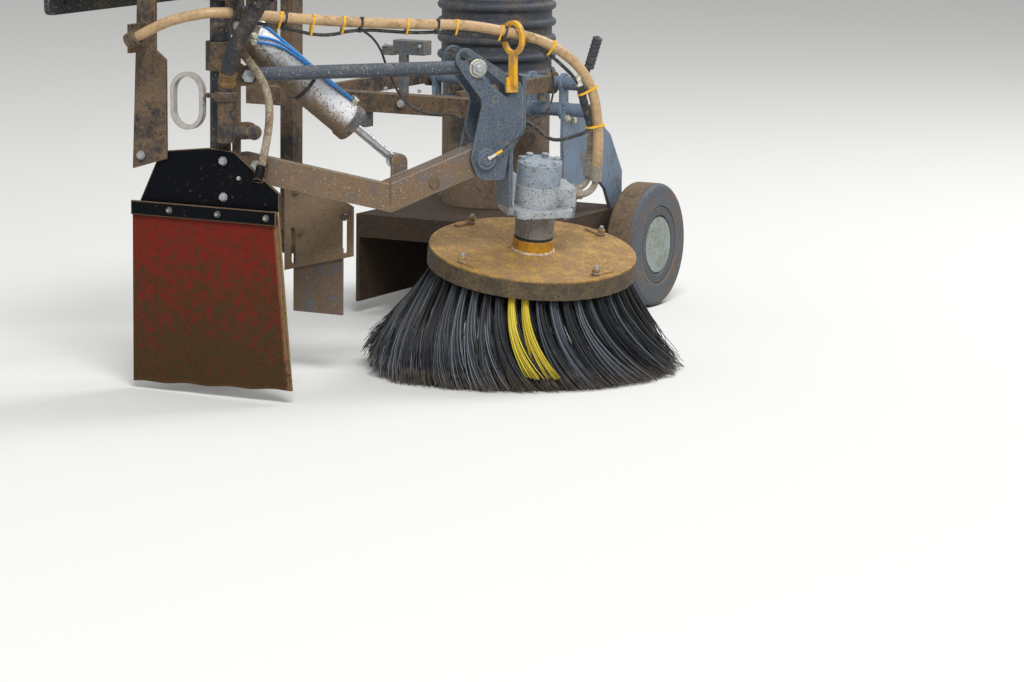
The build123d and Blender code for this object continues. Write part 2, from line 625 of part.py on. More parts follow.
# Lift cylinder: barrel hung from the knuckle, rod with an eye between the arm's lugs
cylinder_vector = (ROD_EYE[0] - CYLINDER_PIN[0], ROD_EYE[1] - CYLINDER_PIN[1])
cylinder_length = math.hypot(*cylinder_vector)
cylinder_direction = (along * cylinder_vector[0] + Vector(0, 0, cylinder_vector[1])) / cylinder_length
CYLINDER = Plane(origin=link_point(*CYLINDER_PIN, cylinder_side), x_dir=aside, z_dir=cylinder_direction)
barrel_mouth = BARREL_END + BARREL_LENGTH
with BuildPart() as cylinder_barrel:
    with BuildSketch(CYLINDER.offset(BARREL_END)):
        Circle(BARREL_DIAMETER / 2)
    extrude(amount=BARREL_LENGTH)
    with BuildSketch(CYLINDER.offset(barrel_mouth - BARREL_CAP_LENGTH)):
        Circle(BARREL_DIAMETER / 2 + BARREL_CAP_OVERSIZE)
    extrude(amount=BARREL_CAP_LENGTH)
    with BuildSketch(CYLINDER):
        Rectangle(CYLINDER_EYE_WIDTH, CYLINDER_EYE_DIAMETER)
    extrude(amount=BARREL_END)
    with BuildSketch(LINK.offset(cylinder_side - CYLINDER_EYE_WIDTH / 2)):
        with Locations(CYLINDER_PIN):
            Circle(CYLINDER_EYE_DIAMETER / 2)
    extrude(amount=CYLINDER_EYE_WIDTH)
    with BuildSketch(LINK.offset(cylinder_side - CYLINDER_EYE_WIDTH / 2)):
        with Locations(CYLINDER_PIN):
            Circle(CYLINDER_PIN_DIAMETER / 2 + FIT_CLEARANCE)
    extrude(amount=CYLINDER_EYE_WIDTH, mode=Mode.SUBTRACT)
    with BuildSketch(CYLINDER.offset(BARREL_END + BARREL_BASE_THICK)):
        Circle(BARREL_BORE / 2)
    extrude(amount=BARREL_LENGTH - BARREL_BASE_THICK - BARREL_CAP_LENGTH, mode=Mode.SUBTRACT)
    with BuildSketch(CYLINDER.offset(barrel_mouth - BARREL_CAP_LENGTH)):
        Circle(ROD_DIAMETER / 2 + FIT_CLEARANCE)
    extrude(amount=BARREL_CAP_LENGTH, mode=Mode.SUBTRACT)
cylinder_barrel.part.label = "cylinder_barrel"
export_step(cylinder_barrel.part, "parts/cylinder_barrel.step")

with BuildPart() as cylinder_rod:
    with BuildSketch(CYLINDER.offset(barrel_mouth - ROD_INSIDE)):
        Circle(ROD_DIAMETER / 2)
    extrude(amount=cylinder_length - barrel_mouth + ROD_INSIDE)
    with BuildSketch(CYLINDER.offset(barrel_mouth - ROD_INSIDE)):
        Circle(BARREL_BORE / 2 - FIT_CLEARANCE)
    extrude(amount=-PISTON_THICK)
    with BuildSketch(LINK.offset(cylinder_side - ROD_EYE_WIDTH / 2)):
        with Locations(ROD_EYE):
            Circle(ROD_EYE_DIAMETER / 2)
    extrude(amount=ROD_EYE_WIDTH)
    with BuildSketch(LINK.offset(cylinder_side - ROD_EYE_WIDTH / 2)):
        with Locations(ROD_EYE):
            Circle(ROD_PIN_DIAMETER / 2 + ROD_PIN_PLAY)
    extrude(amount=ROD_EYE_WIDTH, mode=Mode.SUBTRACT)
cylinder_rod.part.label = "cylinder_rod"
export_step(cylinder_rod.part, "parts/cylinder_rod.step")

# Fork plates: two alike, with a long slot for the tie rod's bolt and a round foot at the pivot
carrier_left, carrier_right = band(from_fork(CARRIER_LINE), CARRIER_THICK)
weld_x = CARRIER_LINE[0][0] - CARRIER_THICK / 2
foot_x = CARRIER_LINE[2][0] - CARRIER_THICK / 2
fork_outline = from_fork(
    [
        (SLOT_ENDS[0][0] - 20, SLOT_ENDS[0][1] - 10),
        (SLOT_ENDS[0][0] + 1, SLOT_ENDS[0][1] + 24),
        (weld_x - 4, SLOT_ENDS[1][1] + 19),
        (weld_x, SLOT_ENDS[1][1] + 7),
    ]
)
fork_outline += carrier_right[1:3]
fork_outline += from_fork(
    [
        (foot_x - 12, -FORK_FOOT_DROP),
        (-FORK_PIVOT_RADIUS + 19, -FORK_FOOT_DROP),
        (-FORK_PIVOT_RADIUS, 0),
        (-5, SLOT_ENDS[1][1] - 17),
    ]
)
slot_start, slot_end = from_fork(SLOT_ENDS)
slot_run = (slot_end[0] - slot_start[0], slot_end[1] - slot_start[1])
slot_middle = ((slot_start[0] + slot_end[0]) / 2, (slot_start[1] + slot_end[1]) / 2)
slot_angle = math.degrees(math.atan2(slot_run[1], slot_run[0]))
fork_corners = [20.0, 20.0, 6.0, 6.0, 0.0, 0.0, 10.0, 28.0, 28.0, 30.0]
for node, start in (("fork_plate_near", fork_inner), ("fork_plate_far", -fork_outer)):
    with BuildPart() as fork_plate:
        with BuildSketch(LINK.offset(start)):
            with BuildLine():
                Polyline(*fork_outline, close=True)
            make_face()
            for corner, radius in zip(fork_outline, fork_corners):
                if radius:
                    nearest = vertices().sort_by_distance((*corner, 0))[0]
                    fillet(nearest, radius)
            with Locations(fork_pivot):
                Circle(ARM_PIN_DIAMETER / 2, mode=Mode.SUBTRACT)
            with Locations(slot_middle):
                SlotCenterToCenter(math.hypot(*slot_run), SLOT_WIDTH, rotation=slot_angle, mode=Mode.SUBTRACT)
        extrude(amount=FORK_THICK)
    fork_plate.part.label = node
    export_step(fork_plate.part, f"parts/{node}.step")

# Carrier: flat bar bent along the back of the fork plates and down to the motor bracket
with BuildPart() as carrier:
    with BuildSketch(LINK.offset(-fork_outer)):
        with BuildLine():
            Polyline(*carrier_left, *reversed(carrier_right), close=True)
        make_face()
    extrude(amount=2 * fork_outer)
carrier.part.label = "carrier"
export_step(carrier.part, "parts/carrier.step")

# Fork pins: the arm's pin through both plates, and the tie rod's bolt in the slots
for node, (pin_u, pin_v), pin_diameter in (
    ("fork_pin", fork_pivot, ARM_PIN_DIAMETER),
    ("slot_bolt", tie_head, TIE_PIN_DIAMETER),
):
    with BuildPart() as head_pin:
        with BuildSketch(LINK.offset(-fork_outer - 2 * PIN_OVERHANG)):
            with Locations((pin_u, pin_v)):
                Circle(pin_diameter / 2)
        extrude(amount=2 * fork_outer + 4 * PIN_OVERHANG)
        for washer_start in (fork_outer, -fork_outer - WASHER_THICK):
            with BuildSketch(LINK.offset(washer_start)):
                with Locations((pin_u, pin_v)):
                    Circle(pin_diameter * WASHER_RATIO)
            extrude(amount=WASHER_THICK)
        for nut_start in (fork_outer + WASHER_THICK, -fork_outer - PIN_OVERHANG - WASHER_THICK):
            with BuildSketch(LINK.offset(nut_start)):
                with Locations((pin_u, pin_v)):
                    RegularPolygon(pin_diameter * PIN_HEAD_RATIO, 6)
            extrude(amount=PIN_OVERHANG)
    head_pin.part.label = node
    export_step(head_pin.part, f"parts/{node}.step")

# Motor bracket: square plate under the motor and an upright that is bolted to the carrier
carrier_face = CARRIER_LINE[-1][0] + CARRIER_THICK / 2 - BROOM_AHEAD
with BuildPart() as motor_bracket:
    with BuildSketch(BROOM.offset(FLANGE_BASE)):
        RectangleRounded(FLANGE_WIDTH, FLANGE_WIDTH, FLANGE_CORNER)
        with Locations(((carrier_face - FLANGE_WIDTH / 2 + FLANGE_CORNER) / 2, 0)):
            Rectangle(-carrier_face - FLANGE_WIDTH / 2 + FLANGE_CORNER, BRACKET_WIDTH)
    extrude(amount=FLANGE_THICK)
    with BuildSketch(BROOM.offset(FLANGE_BASE + FLANGE_THICK)):
        with Locations((carrier_face + BRACKET_THICK / 2, 0)):
            Rectangle(BRACKET_THICK, BRACKET_WIDTH)
    extrude(amount=BRACKET_HEIGHT)
    with BuildSketch(BROOM.offset(FLANGE_BASE)):
        Circle(MOTOR_NOSE_DIAMETER / 2)
    extrude(amount=FLANGE_THICK, mode=Mode.SUBTRACT)
motor_bracket.part.label = "motor_bracket"
export_step(motor_bracket.part, "parts/motor_bracket.step")

# Motor body: tapered nose through the bracket, round body and a boss with the two ports
nose_base = HUB_HEIGHT + MOTOR_HUB_GAP
body_base = FLANGE_BASE + FLANGE_THICK
body_top = body_base + MOTOR_BODY_HEIGHT
port_height = body_base + MOTOR_BODY_HEIGHT / 2
with BuildPart() as motor_body:
    with BuildSketch(Plane(origin=BROOM.origin, x_dir=BROOM.x_dir, z_dir=-BROOM.y_dir)):
        with BuildLine():
            Polyline(
                (MOTOR_SHAFT_DIAMETER / 2 + FIT_CLEARANCE, nose_base),
                (MOTOR_NOSE_TIP_DIAMETER / 2, nose_base),
                (MOTOR_NOSE_DIAMETER / 2, FLANGE_BASE),
                (MOTOR_NOSE_DIAMETER / 2, body_base),
                (MOTOR_BODY_DIAMETER / 2, body_base),
                (MOTOR_BODY_DIAMETER / 2, body_top),
                (0, body_top),
                (0, FLANGE_BASE),
                (MOTOR_SHAFT_DIAMETER / 2 + FIT_CLEARANCE, FLANGE_BASE),
                close=True,
            )
        make_face()
    revolve(axis=Axis(BROOM.origin, BROOM.z_dir))
    with BuildSketch(BROOM.offset(body_base)):
        with Locations((PORT_REACH / 2, 0)):
            Rectangle(PORT_REACH, PORT_BOSS_WIDTH)
    extrude(amount=MOTOR_BODY_HEIGHT - 4)
motor_body.part.label = "motor_body"
export_step(motor_body.part, "parts/motor_body.step")

# Motor cap: the round rear section with seven bolt heads in a circle
with BuildPart() as motor_cap:
    with BuildSketch(BROOM.offset(body_top)):
        Circle(MOTOR_CAP_DIAMETER / 2)
    extrude(amount=MOTOR_CAP_HEIGHT)
    with BuildSketch(BROOM.offset(body_top + MOTOR_CAP_HEIGHT)):
        with PolarLocations(MOTOR_CAP_DIAMETER / 2 - 9, 7):
            RegularPolygon(8, 6)
    extrude(amount=7)
motor_cap.part.label = "motor_cap"
export_step(motor_cap.part, "parts/motor_cap.step")

# Port elbows: a hexagon at each port, a bent pipe and the crimped ferrule of the hose
elbow_start = PORT_REACH + PORT_HEX_LENGTH
ferrule_reach = elbow_start + ELBOW_RADIUS
ferrule_base = port_height + ELBOW_RADIUS
for node, side in (("port_elbow_near", -1), ("port_elbow_far", 1)):
    port_side = side * PORT_SPACING / 2
    port_plane = Plane(
        origin=BROOM.from_local_coords((PORT_REACH, port_side, port_height)),
        x_dir=BROOM.y_dir,
        z_dir=BROOM.x_dir,
    )
    upright = Plane(
        origin=BROOM.from_local_coords((0, port_side, 0)), x_dir=BROOM.x_dir, z_dir=-BROOM.y_dir
    )
    with BuildPart() as port_elbow:
        with BuildSketch(port_plane):
            RegularPolygon(PORT_HEX / 2, 6)
        extrude(amount=PORT_HEX_LENGTH)
        with BuildLine(upright) as bend:
            JernArc((elbow_start, port_height), (1, 0), ELBOW_RADIUS, 90)
        with BuildSketch(port_plane.offset(PORT_HEX_LENGTH)):
            Circle(ELBOW_DIAMETER / 2)
        sweep(path=bend.line)
        with BuildSketch(BROOM.offset(ferrule_base)):
            with Locations((ferrule_reach, port_side)):
                Circle(FERRULE_DIAMETER / 2)
        extrude(amount=FERRULE_LENGTH)
    port_elbow.part.label = node
    export_step(port_elbow.part, f"parts/{node}.step")

# Disc and hub: the steel disc that turns, its collar and shaft, and four clips that hold the
# brush block by a bolt and a flat tongue
with BuildPart() as disc_hub:
    with BuildSketch(BROOM.offset(-DISC_THICK)):
        Circle(DISC_DIAMETER / 2)
    extrude(amount=DISC_THICK)
    with BuildSketch(BROOM):
        Circle(HUB_DIAMETER / 2)
    extrude(amount=HUB_HEIGHT)
    with BuildSketch(BROOM.offset(HUB_HEIGHT)):
        Circle(MOTOR_SHAFT_DIAMETER / 2)
    extrude(amount=SHAFT_TOP - HUB_HEIGHT)
    with BuildSketch(BROOM):
        with PolarLocations(CLIP_CIRCLE_RADIUS, 4, start_angle=CLIP_START_ANGLE):
            with Locations((0, CLIP_LENGTH / 2)):
                Rectangle(CLIP_WIDTH, CLIP_LENGTH)
    extrude(amount=CLIP_THICK)
    with BuildSketch(BROOM):
        with PolarLocations(CLIP_CIRCLE_RADIUS, 4, start_angle=CLIP_START_ANGLE):
            RegularPolygon(CLIP_NUT_RADIUS, 6)
    extrude(amount=CLIP_NUT_HEIGHT)
disc_hub.part.label = "disc_hub"
export_step(disc_hub.part, "parts/disc_hub.step")

# Brush block: the ring under the disc that holds the tufts
with BuildPart() as brush_block:
    with BuildSketch(BROOM.offset(-DISC_THICK - BLOCK_DEPTH)):
        Circle(BLOCK_DIAMETER / 2)
        Circle(BLOCK_HOLE_DIAMETER / 2, mode=Mode.SUBTRACT)
    extrude(amount=BLOCK_DEPTH)
brush_block.part.label = "brush_block"
export_step(brush_block.part, "parts/brush_block.step")

# Bristles: a ring of tufts that flare and trail behind the spin, on a thin skirt of the inner
# tufts, all worn flat where they meet the road
core_root = BRISTLE_ROOT_DIAMETER / 2 - BRISTLE_CORE_INSET
core_tip = BRISTLE_TIP_DIAMETER / 2 - 2 * BRISTLE_CORE_INSET
bristle_top = -DISC_THICK - BLOCK_DEPTH
bristle_bottom = bristle_top - BRISTLE_LENGTH
tuft_ends = [
    (bristle_top, BRISTLE_ROOT_DIAMETER / 2 - TUFT_ROOT_RADIUS, TUFT_ROOT_RADIUS, 0.0),
    (bristle_bottom, BRISTLE_TIP_DIAMETER / 2 - TUFT_TIP_RADIUS, TUFT_TIP_RADIUS, TUFT_TRAIL_ANGLE),
]
with BuildPart() as bristles:
    with BuildSketch(Plane(origin=BROOM.origin, x_dir=BROOM.x_dir, z_dir=-BROOM.y_dir)):
        with BuildLine():
            Polyline(
                (core_root - BRISTLE_CORE_WALL, bristle_top),
                (core_root, bristle_top),
                (core_tip, bristle_bottom),
                (core_tip - BRISTLE_CORE_WALL, bristle_bottom),
                close=True,
            )
        make_face()
    revolve(axis=Axis(BROOM.origin, BROOM.z_dir))
    for tuft in range(TUFT_COUNT):
        tuft_angle = 360 * tuft / TUFT_COUNT
        for level, spread, reach, trail in tuft_ends:
            place = math.radians(tuft_angle + trail)
            with BuildSketch(BROOM.offset(level)):
                with Locations((spread * math.cos(place), spread * math.sin(place))):
                    RegularPolygon(reach, 6, rotation=tuft_angle)
        loft()
    road = Plane.XY.offset(GROUND_Z + BRISTLE_GROUND_GAP)
    split(bisect_by=road, keep=Keep.TOP)
bristles.part.label = "bristles"
export_step(bristles.part, "parts/bristles.step")

spray_end_run = along * SPRAY_END_RUN[0] + Vector(0, 0, SPRAY_END_RUN[1]) + aside * SPRAY_END_RUN[2]

# Flap bracket: plate bolted to the pad of the post, its outer corner cut to a slant, with the
# fitting that the spray hose ends in
flap_front_y = flap_back_y - FLAP_BRACKET_THICK
strip_bottom_z = STRIP_TOP_Z - STRIP_HEIGHT
bracket_outline = [
    (FLAP_INNER_X, strip_bottom_z),
    (FLAP_OUTER_X, strip_bottom_z),
    (FLAP_OUTER_X, STRIP_TOP_Z + BRACKET_SHOULDER),
    *BRACKET_CROWN,
]
with BuildPart() as flap_bracket:
    with BuildSketch(Plane.XZ.offset(-flap_back_y)):
        with BuildLine():
            Polyline(*bracket_outline, close=True)
        make_face()
    extrude(amount=FLAP_BRACKET_THICK)
    with BuildSketch(Plane(origin=link_point(*SPRAY_END), z_dir=spray_end_run)):
        Circle(SPRAY_FITTING_DIAMETER / 2)
    extrude(amount=SPRAY_END_LENGTH)
flap_bracket.part.label = "flap_bracket"
export_step(flap_bracket.part, "parts/flap_bracket.step")

# Stay plate: bolted to the front of the flap bracket and to the front outrigger, with a gland
stay_front_y = flap_front_y - STAY_THICK
stay_left, stay_top = STAY_OUTLINE[0]
stay_right = STAY_OUTLINE[1][0]
lead_run = LEAD_END - LEAD_BENDS[-1]
lug_x = LEAD_END.X - LEAD_GLAND_LENGTH
outrigger_front_y = post_centre.Y - OUTRIGGER_WIDTH / 2
with BuildPart() as stay_plate:
    with BuildSketch(Plane.XZ.offset(-flap_front_y)):
        with BuildLine():
            Polyline(*STAY_OUTLINE, close=True)
        make_face()
    extrude(amount=STAY_THICK)
    with BuildSketch(Plane.XZ.offset(-outrigger_front_y)):
        with Locations(((stay_left + stay_right) / 2, stay_top - STAY_SPACER_HEIGHT / 2)):
            Rectangle(stay_right - stay_left, STAY_SPACER_HEIGHT)
    extrude(amount=outrigger_front_y - flap_front_y)
    with BuildSketch(Plane(origin=LEAD_END, z_dir=lead_run)):
        Circle(HOSE_DIAMETER / 2 + GLAND_WALL)
    extrude(amount=LEAD_GLAND_LENGTH)
    with BuildSketch(Plane.YZ.offset(lug_x)):
        with Locations(((stay_front_y + LEAD_END.Y) / 2, LEAD_END.Z - GLAND_WALL)):
            Rectangle(stay_front_y - LEAD_END.Y, LEAD_LUG_HEIGHT)
    extrude(amount=STAY_THICK)
stay_plate.part.label = "stay_plate"
export_step(stay_plate.part, "parts/stay_plate.step")

# Clamp strip and rubber flap: the strip presses the flap's top edge against the bracket
with BuildPart() as flap:
    with BuildSketch(Plane.XZ.offset(-flap_front_y)):
        with BuildLine():
            Polyline(
                (FLAP_INNER_X, STRIP_TOP_Z),
                (FLAP_OUTER_X, STRIP_TOP_Z),
                (FLAP_OUTER_X, strip_bottom_z),
                (FLAP_OUTER_X + FLAP_FLARE, GROUND_Z + FLAP_GROUND_GAP + FLAP_FOOT_RISE),
                (FLAP_INNER_X, GROUND_Z + FLAP_GROUND_GAP),
                close=True,
            )
        make_face()
    extrude(amount=FLAP_THICK)
flap.part.label = "flap"
export_step(flap.part, "parts/flap.step")

with BuildPart() as clamp_strip:
    with BuildSketch(Plane.XZ.offset(-flap_front_y + FLAP_THICK)):
        with BuildLine():
            Polyline(
                (FLAP_INNER_X, STRIP_TOP_Z),
                (FLAP_OUTER_X, STRIP_TOP_Z),
                (FLAP_OUTER_X, strip_bottom_z),
                (FLAP_INNER_X, strip_bottom_z),
                close=True,
            )
        make_face()
    extrude(amount=STRIP_THICK)
clamp_strip.part.label = "clamp_strip"
export_step(clamp_strip.part, "parts/clamp_strip.step")

# Channel post: open channel hanging from the rear outrigger
with BuildPart() as channel_post:
    with BuildSketch(Plane.XY.offset(CHANNEL_BOTTOM_Z)):
        with Locations((CHANNEL_X + CHANNEL_WIDTH / 2, CHANNEL_FRONT_Y + CHANNEL_DEPTH / 2)):
            Rectangle(CHANNEL_WIDTH, CHANNEL_DEPTH)
        with Locations((CHANNEL_X + (CHANNEL_WIDTH - CHANNEL_WALL) / 2, CHANNEL_FRONT_Y + CHANNEL_DEPTH / 2)):
            Rectangle(CHANNEL_WIDTH - CHANNEL_WALL, CHANNEL_DEPTH - 2 * CHANNEL_WALL, mode=Mode.SUBTRACT)
    extrude(amount=POST_TOP_Z - CHANNEL_BOTTOM_Z)
channel_post.part.label = "channel_post"
export_step(channel_post.part, "parts/channel_post.step")

# Side plate: hung on the channel post, with two upright slots to set its height
side_outline = [
    (388.0, -478.0),
    (532.0, -493.0),
    (559.0, -507.0),
    (559.0, -614.0),
    (388.0, -657.0),
]
side_slots = [(410.0, -602.0, 80.0), (538.0, -566.0, 86.0)]
with BuildPart() as side_plate:
    with BuildSketch(Plane.XZ.offset(-CHANNEL_FRONT_Y)):
        with BuildLine():
            Polyline(*side_outline, close=True)
        make_face()
        for slot_x, slot_z, slot_length in side_slots:
            with Locations((slot_x, slot_z)):
                SlotOverall(slot_length, SIDE_SLOT_WIDTH, rotation=90, mode=Mode.SUBTRACT)
    extrude(amount=SIDE_PLATE_THICK)
side_plate.part.label = "side_plate"
export_step(side_plate.part, "parts/side_plate.step")

# Lower side plate: behind the side plate, held through its slots
with BuildPart() as side_plate_lower:
    with BuildSketch(Plane.XZ.offset(-CHANNEL_FRONT_Y - SIDE_PLATE_THICK)):
        with BuildLine():
            Polyline(
                (CHANNEL_X + CHANNEL_WIDTH + SIDE_CLEARANCE, LOWER_PLATE_TOP_Z),
                (LOWER_PLATE_OUTER_X, LOWER_PLATE_TOP_Z),
                (LOWER_PLATE_OUTER_X, LOWER_PLATE_BOTTOM_Z),
                (CHANNEL_X + CHANNEL_WIDTH + SIDE_CLEARANCE, LOWER_PLATE_BOTTOM_Z),
                close=True,
            )
        make_face()
    extrude(amount=SIDE_PLATE_THICK)
side_plate_lower.part.label = "side_plate_lower"
export_step(side_plate_lower.part, "parts/side_plate_lower.step")

# Cross beam: a leg down from the rail, a box beam outboard and two arms back to the shaft
cross_centre_z = CROSS_TOP_Z - CROSS_HEIGHT / 2
with BuildPart() as cross_beam:
    with BuildSketch(Plane.YZ.offset(rail_outer_x)):
        with Locations((CROSS_Y + CROSS_WIDTH / 2, cross_centre_z)):
            Rectangle(CROSS_WIDTH, CROSS_HEIGHT)
    extrude(amount=CROSS_OUTER_X - rail_outer_x)
    with BuildSketch(Plane.YZ.offset(rail_outer_x)):
        with Locations((CROSS_Y + CROSS_WIDTH / 2, cross_centre_z)):
            Rectangle(CROSS_WIDTH - 2 * CROSS_WALL, CROSS_HEIGHT - 2 * CROSS_WALL)
    extrude(amount=CROSS_OUTER_X - rail_outer_x, mode=Mode.SUBTRACT)
    with BuildSketch(Plane.XY.offset(CROSS_TOP_Z - CROSS_HEIGHT)):
        with Locations((rail_outer_x - RAIL_WIDTH / 2, CROSS_Y + CROSS_WIDTH / 2)):
            Rectangle(RAIL_WIDTH, CROSS_WIDTH)
    extrude(amount=-RAIL_HEIGHT / 2 - CROSS_TOP_Z + CROSS_HEIGHT)
    for arm_x in SHAFT_ARM_XS:
        with BuildSketch(Plane.YZ.offset(arm_x)):
            with Locations(((CROSS_Y + CROSS_WIDTH + SHAFT_Y) / 2, SHAFT_Z)):
                Rectangle(SHAFT_Y - CROSS_Y - CROSS_WIDTH, SHAFT_ARM_HEIGHT)
            with Locations((SHAFT_Y, SHAFT_Z)):
                Circle(SHAFT_DIAMETER / 2 + SHAFT_EYE_WALL)
                Circle(SHAFT_DIAMETER / 2, mode=Mode.SUBTRACT)
        extrude(amount=SHAFT_ARM_THICK)
cross_beam.part.label = "cross_beam"
export_step(cross_beam.part, "parts/cross_beam.step")

# Valve block on a leg on top of the cross beam, and a small valve under it
valve_plane = Plane.XZ.offset(-CROSS_Y)
with BuildPart() as valve_block:
    for block_inner, block_outer, block_bottom, block_top in VALVE_BLOCKS:
        with BuildSketch(valve_plane):
            with Locations(((block_inner + block_outer) / 2, (block_bottom + block_top) / 2)):
                Rectangle(block_outer - block_inner, block_top - block_bottom)
        extrude(amount=-VALVE_DEPTH)
    with BuildSketch(valve_plane):
        with Locations((sum(VALVE_LEG) / 2, (CROSS_TOP_Z + VALVE_BLOCKS[1][2]) / 2)):
            Rectangle(VALVE_LEG[1] - VALVE_LEG[0], VALVE_BLOCKS[1][2] - CROSS_TOP_Z)
    extrude(amount=-VALVE_DEPTH / 2)
valve_block.part.label = "valve_block"
export_step(valve_block.part, "parts/valve_block.step")

with BuildPart() as lower_valve:
    with BuildSketch(valve_plane):
        with Locations((sum(LOWER_VALVE) / 2, CROSS_TOP_Z - CROSS_HEIGHT - LOWER_VALVE_HEIGHT / 2)):
            Rectangle(LOWER_VALVE[1] - LOWER_VALVE[0], LOWER_VALVE_HEIGHT)
    extrude(amount=-VALVE_DEPTH)
lower_valve.part.label = "lower_valve"
export_step(lower_valve.part, "parts/lower_valve.step")

# Nozzle shaft: the upper cross tube, held at both ends by the cross beam's arms
with BuildPart() as nozzle_shaft:
    with BuildSketch(Plane.YZ.offset(SHAFT_INNER_X)):
        with Locations((SHAFT_Y, SHAFT_Z)):
            Circle(SHAFT_DIAMETER / 2)
    extrude(amount=SHAFT_OUTER_X - SHAFT_INNER_X)
nozzle_shaft.part.label = "nozzle_shaft"
export_step(nozzle_shaft.part, "parts/nozzle_shaft.step")

# Nozzle frame: drag straps that swing on the shaft, and the lower tube across them
lower_tube_z = SHAFT_Z - LOWER_TUBE_DROP
nozzle_plate_x = NOZZLE_OUTER_X - NOZZLE_PLATE_THICK
inner_strap_x = SHAFT_ARM_XS[0] + SHAFT_ARM_THICK + STRAP_GAP
with BuildPart() as nozzle_frame:
    for strap_x in (inner_strap_x, nozzle_plate_x - STRAP_PITCH, nozzle_plate_x - STRAP_THICK):
        with BuildSketch(Plane.YZ.offset(strap_x)):
            with Locations((SHAFT_Y, SHAFT_Z - LOWER_TUBE_DROP / 2)):
                Rectangle(STRAP_WIDTH, LOWER_TUBE_DROP)
            with Locations((SHAFT_Y, SHAFT_Z), (SHAFT_Y, lower_tube_z)):
                Circle(SHAFT_DIAMETER / 2 + STRAP_EYE_WALL)
            with Locations((SHAFT_Y, SHAFT_Z)):
                Circle(SHAFT_DIAMETER / 2 + FIT_CLEARANCE, mode=Mode.SUBTRACT)
        extrude(amount=STRAP_THICK)
    with BuildSketch(Plane.YZ.offset(inner_strap_x)):
        with Locations((SHAFT_Y, lower_tube_z)):
            Circle(SHAFT_DIAMETER / 2)
    extrude(amount=SHAFT_OUTER_X - inner_strap_x)
nozzle_frame.part.label = "nozzle_frame"
export_step(nozzle_frame.part, "parts/nozzle_frame.step")

# Nozzle end plate: arched casting from the lower tube down to the housing
end_outline = [
    (SHAFT_Y - 22, lower_tube_z + 20),
    (SHAFT_Y + 110, lower_tube_z - 10),
    (SHAFT_Y + 220, lower_tube_z - 78),
    (nozzle_rear_y - 5, lower_tube_z - 172),
    (nozzle_rear_y - 5, NOZZLE_TOP_Z),
    (nozzle_rear_y - 60, NOZZLE_TOP_Z),
    (SHAFT_Y + 200, NOZZLE_TOP_Z + 50),
    (SHAFT_Y + 150, NOZZLE_TOP_Z + 84),
    (SHAFT_Y + 90, NOZZLE_TOP_Z + 84),
    (SHAFT_Y + 50, NOZZLE_TOP_Z + 50),
    (SHAFT_Y + 35, NOZZLE_TOP_Z),
    (SHAFT_Y - 15, NOZZLE_TOP_Z),
    (SHAFT_Y - 24, lower_tube_z - 60),
]
with BuildPart() as nozzle_end:
    with BuildSketch(Plane.YZ.offset(nozzle_plate_x)):
        with BuildLine():
            Polyline(*end_outline, close=True)
        make_face()
        with Locations((SHAFT_Y, lower_tube_z)):
            Circle(SHAFT_DIAMETER / 2, mode=Mode.SUBTRACT)
    extrude(amount=NOZZLE_PLATE_THICK)
nozzle_end.part.label = "nozzle_end"
export_step(nozzle_end.part, "parts/nozzle_end.step")

# Nozzle housing: open box over the road with a round outlet in its roof; the front wall is a
# short lip, so that dirt can come in under it
nozzle_bottom_z = GROUND_Z + NOZZLE_GROUND_GAP
wheel_centre_z = GROUND_Z + WHEEL_GROUND_GAP + WHEEL_DIAMETER / 2
nozzle_width = NOZZLE_OUTER_X - NOZZLE_INNER_X
nozzle_depth = nozzle_rear_y - nozzle_front_y
nozzle_centre = ((NOZZLE_INNER_X + NOZZLE_OUTER_X) / 2, (nozzle_front_y + nozzle_rear_y) / 2)
with BuildPart() as nozzle_housing:
    with BuildSketch(Plane.XY.offset(nozzle_bottom_z)):
        with Locations(nozzle_centre):
            Rectangle(nozzle_width, nozzle_depth)
    extrude(amount=NOZZLE_TOP_Z - nozzle_bottom_z)
    with BuildSketch(Plane.XY.offset(nozzle_bottom_z)):
        with Locations(nozzle_centre):
            Rectangle(nozzle_width - 2 * NOZZLE_WALL, nozzle_depth - 2 * NOZZLE_WALL)
    extrude(amount=NOZZLE_TOP_Z - nozzle_bottom_z - NOZZLE_WALL, mode=Mode.SUBTRACT)
    with BuildSketch(Plane.XY.offset(nozzle_bottom_z)):
        with Locations((nozzle_centre[0], nozzle_front_y + NOZZLE_WALL / 2)):
            Rectangle(nozzle_width - 2 * NOZZLE_WALL, NOZZLE_WALL)
    extrude(amount=NOZZLE_TOP_Z - nozzle_bottom_z - NOZZLE_LIP_HEIGHT, mode=Mode.SUBTRACT)
    duct_base = Plane((DUCT_X, duct_y, NOZZLE_TOP_Z))
    with BuildSketch(duct_base.offset(-NOZZLE_WALL)):
        Circle(DUCT_DIAMETER / 2 - DUCT_WALL - NOZZLE_ROOF_RIM)
    extrude(amount=NOZZLE_WALL, mode=Mode.SUBTRACT)
    for axle_x, direction in ((NOZZLE_OUTER_X, 1), (NOZZLE_INNER_X, -1)):
        with BuildSketch(Plane.YZ.offset(axle_x)):
            with Locations((wheel_y, wheel_centre_z)):
                Circle(AXLE_DIAMETER / 2)
        extrude(amount=direction * (WHEEL_GAP + WHEEL_WIDTH - AXLE_TIP_GAP))
        with BuildSketch(Plane.YZ.offset(axle_x - direction * NOZZLE_WALL)):
            with Locations((wheel_y - AXLE_PLATE_SHIFT, wheel_centre_z)):
                Rectangle(AXLE_PLATE_LENGTH, AXLE_PLATE_HEIGHT)
        extrude(amount=direction * NOZZLE_WALL)
nozzle_housing.part.label = "nozzle_housing"
export_step(nozzle_housing.part, "parts/nozzle_housing.step")

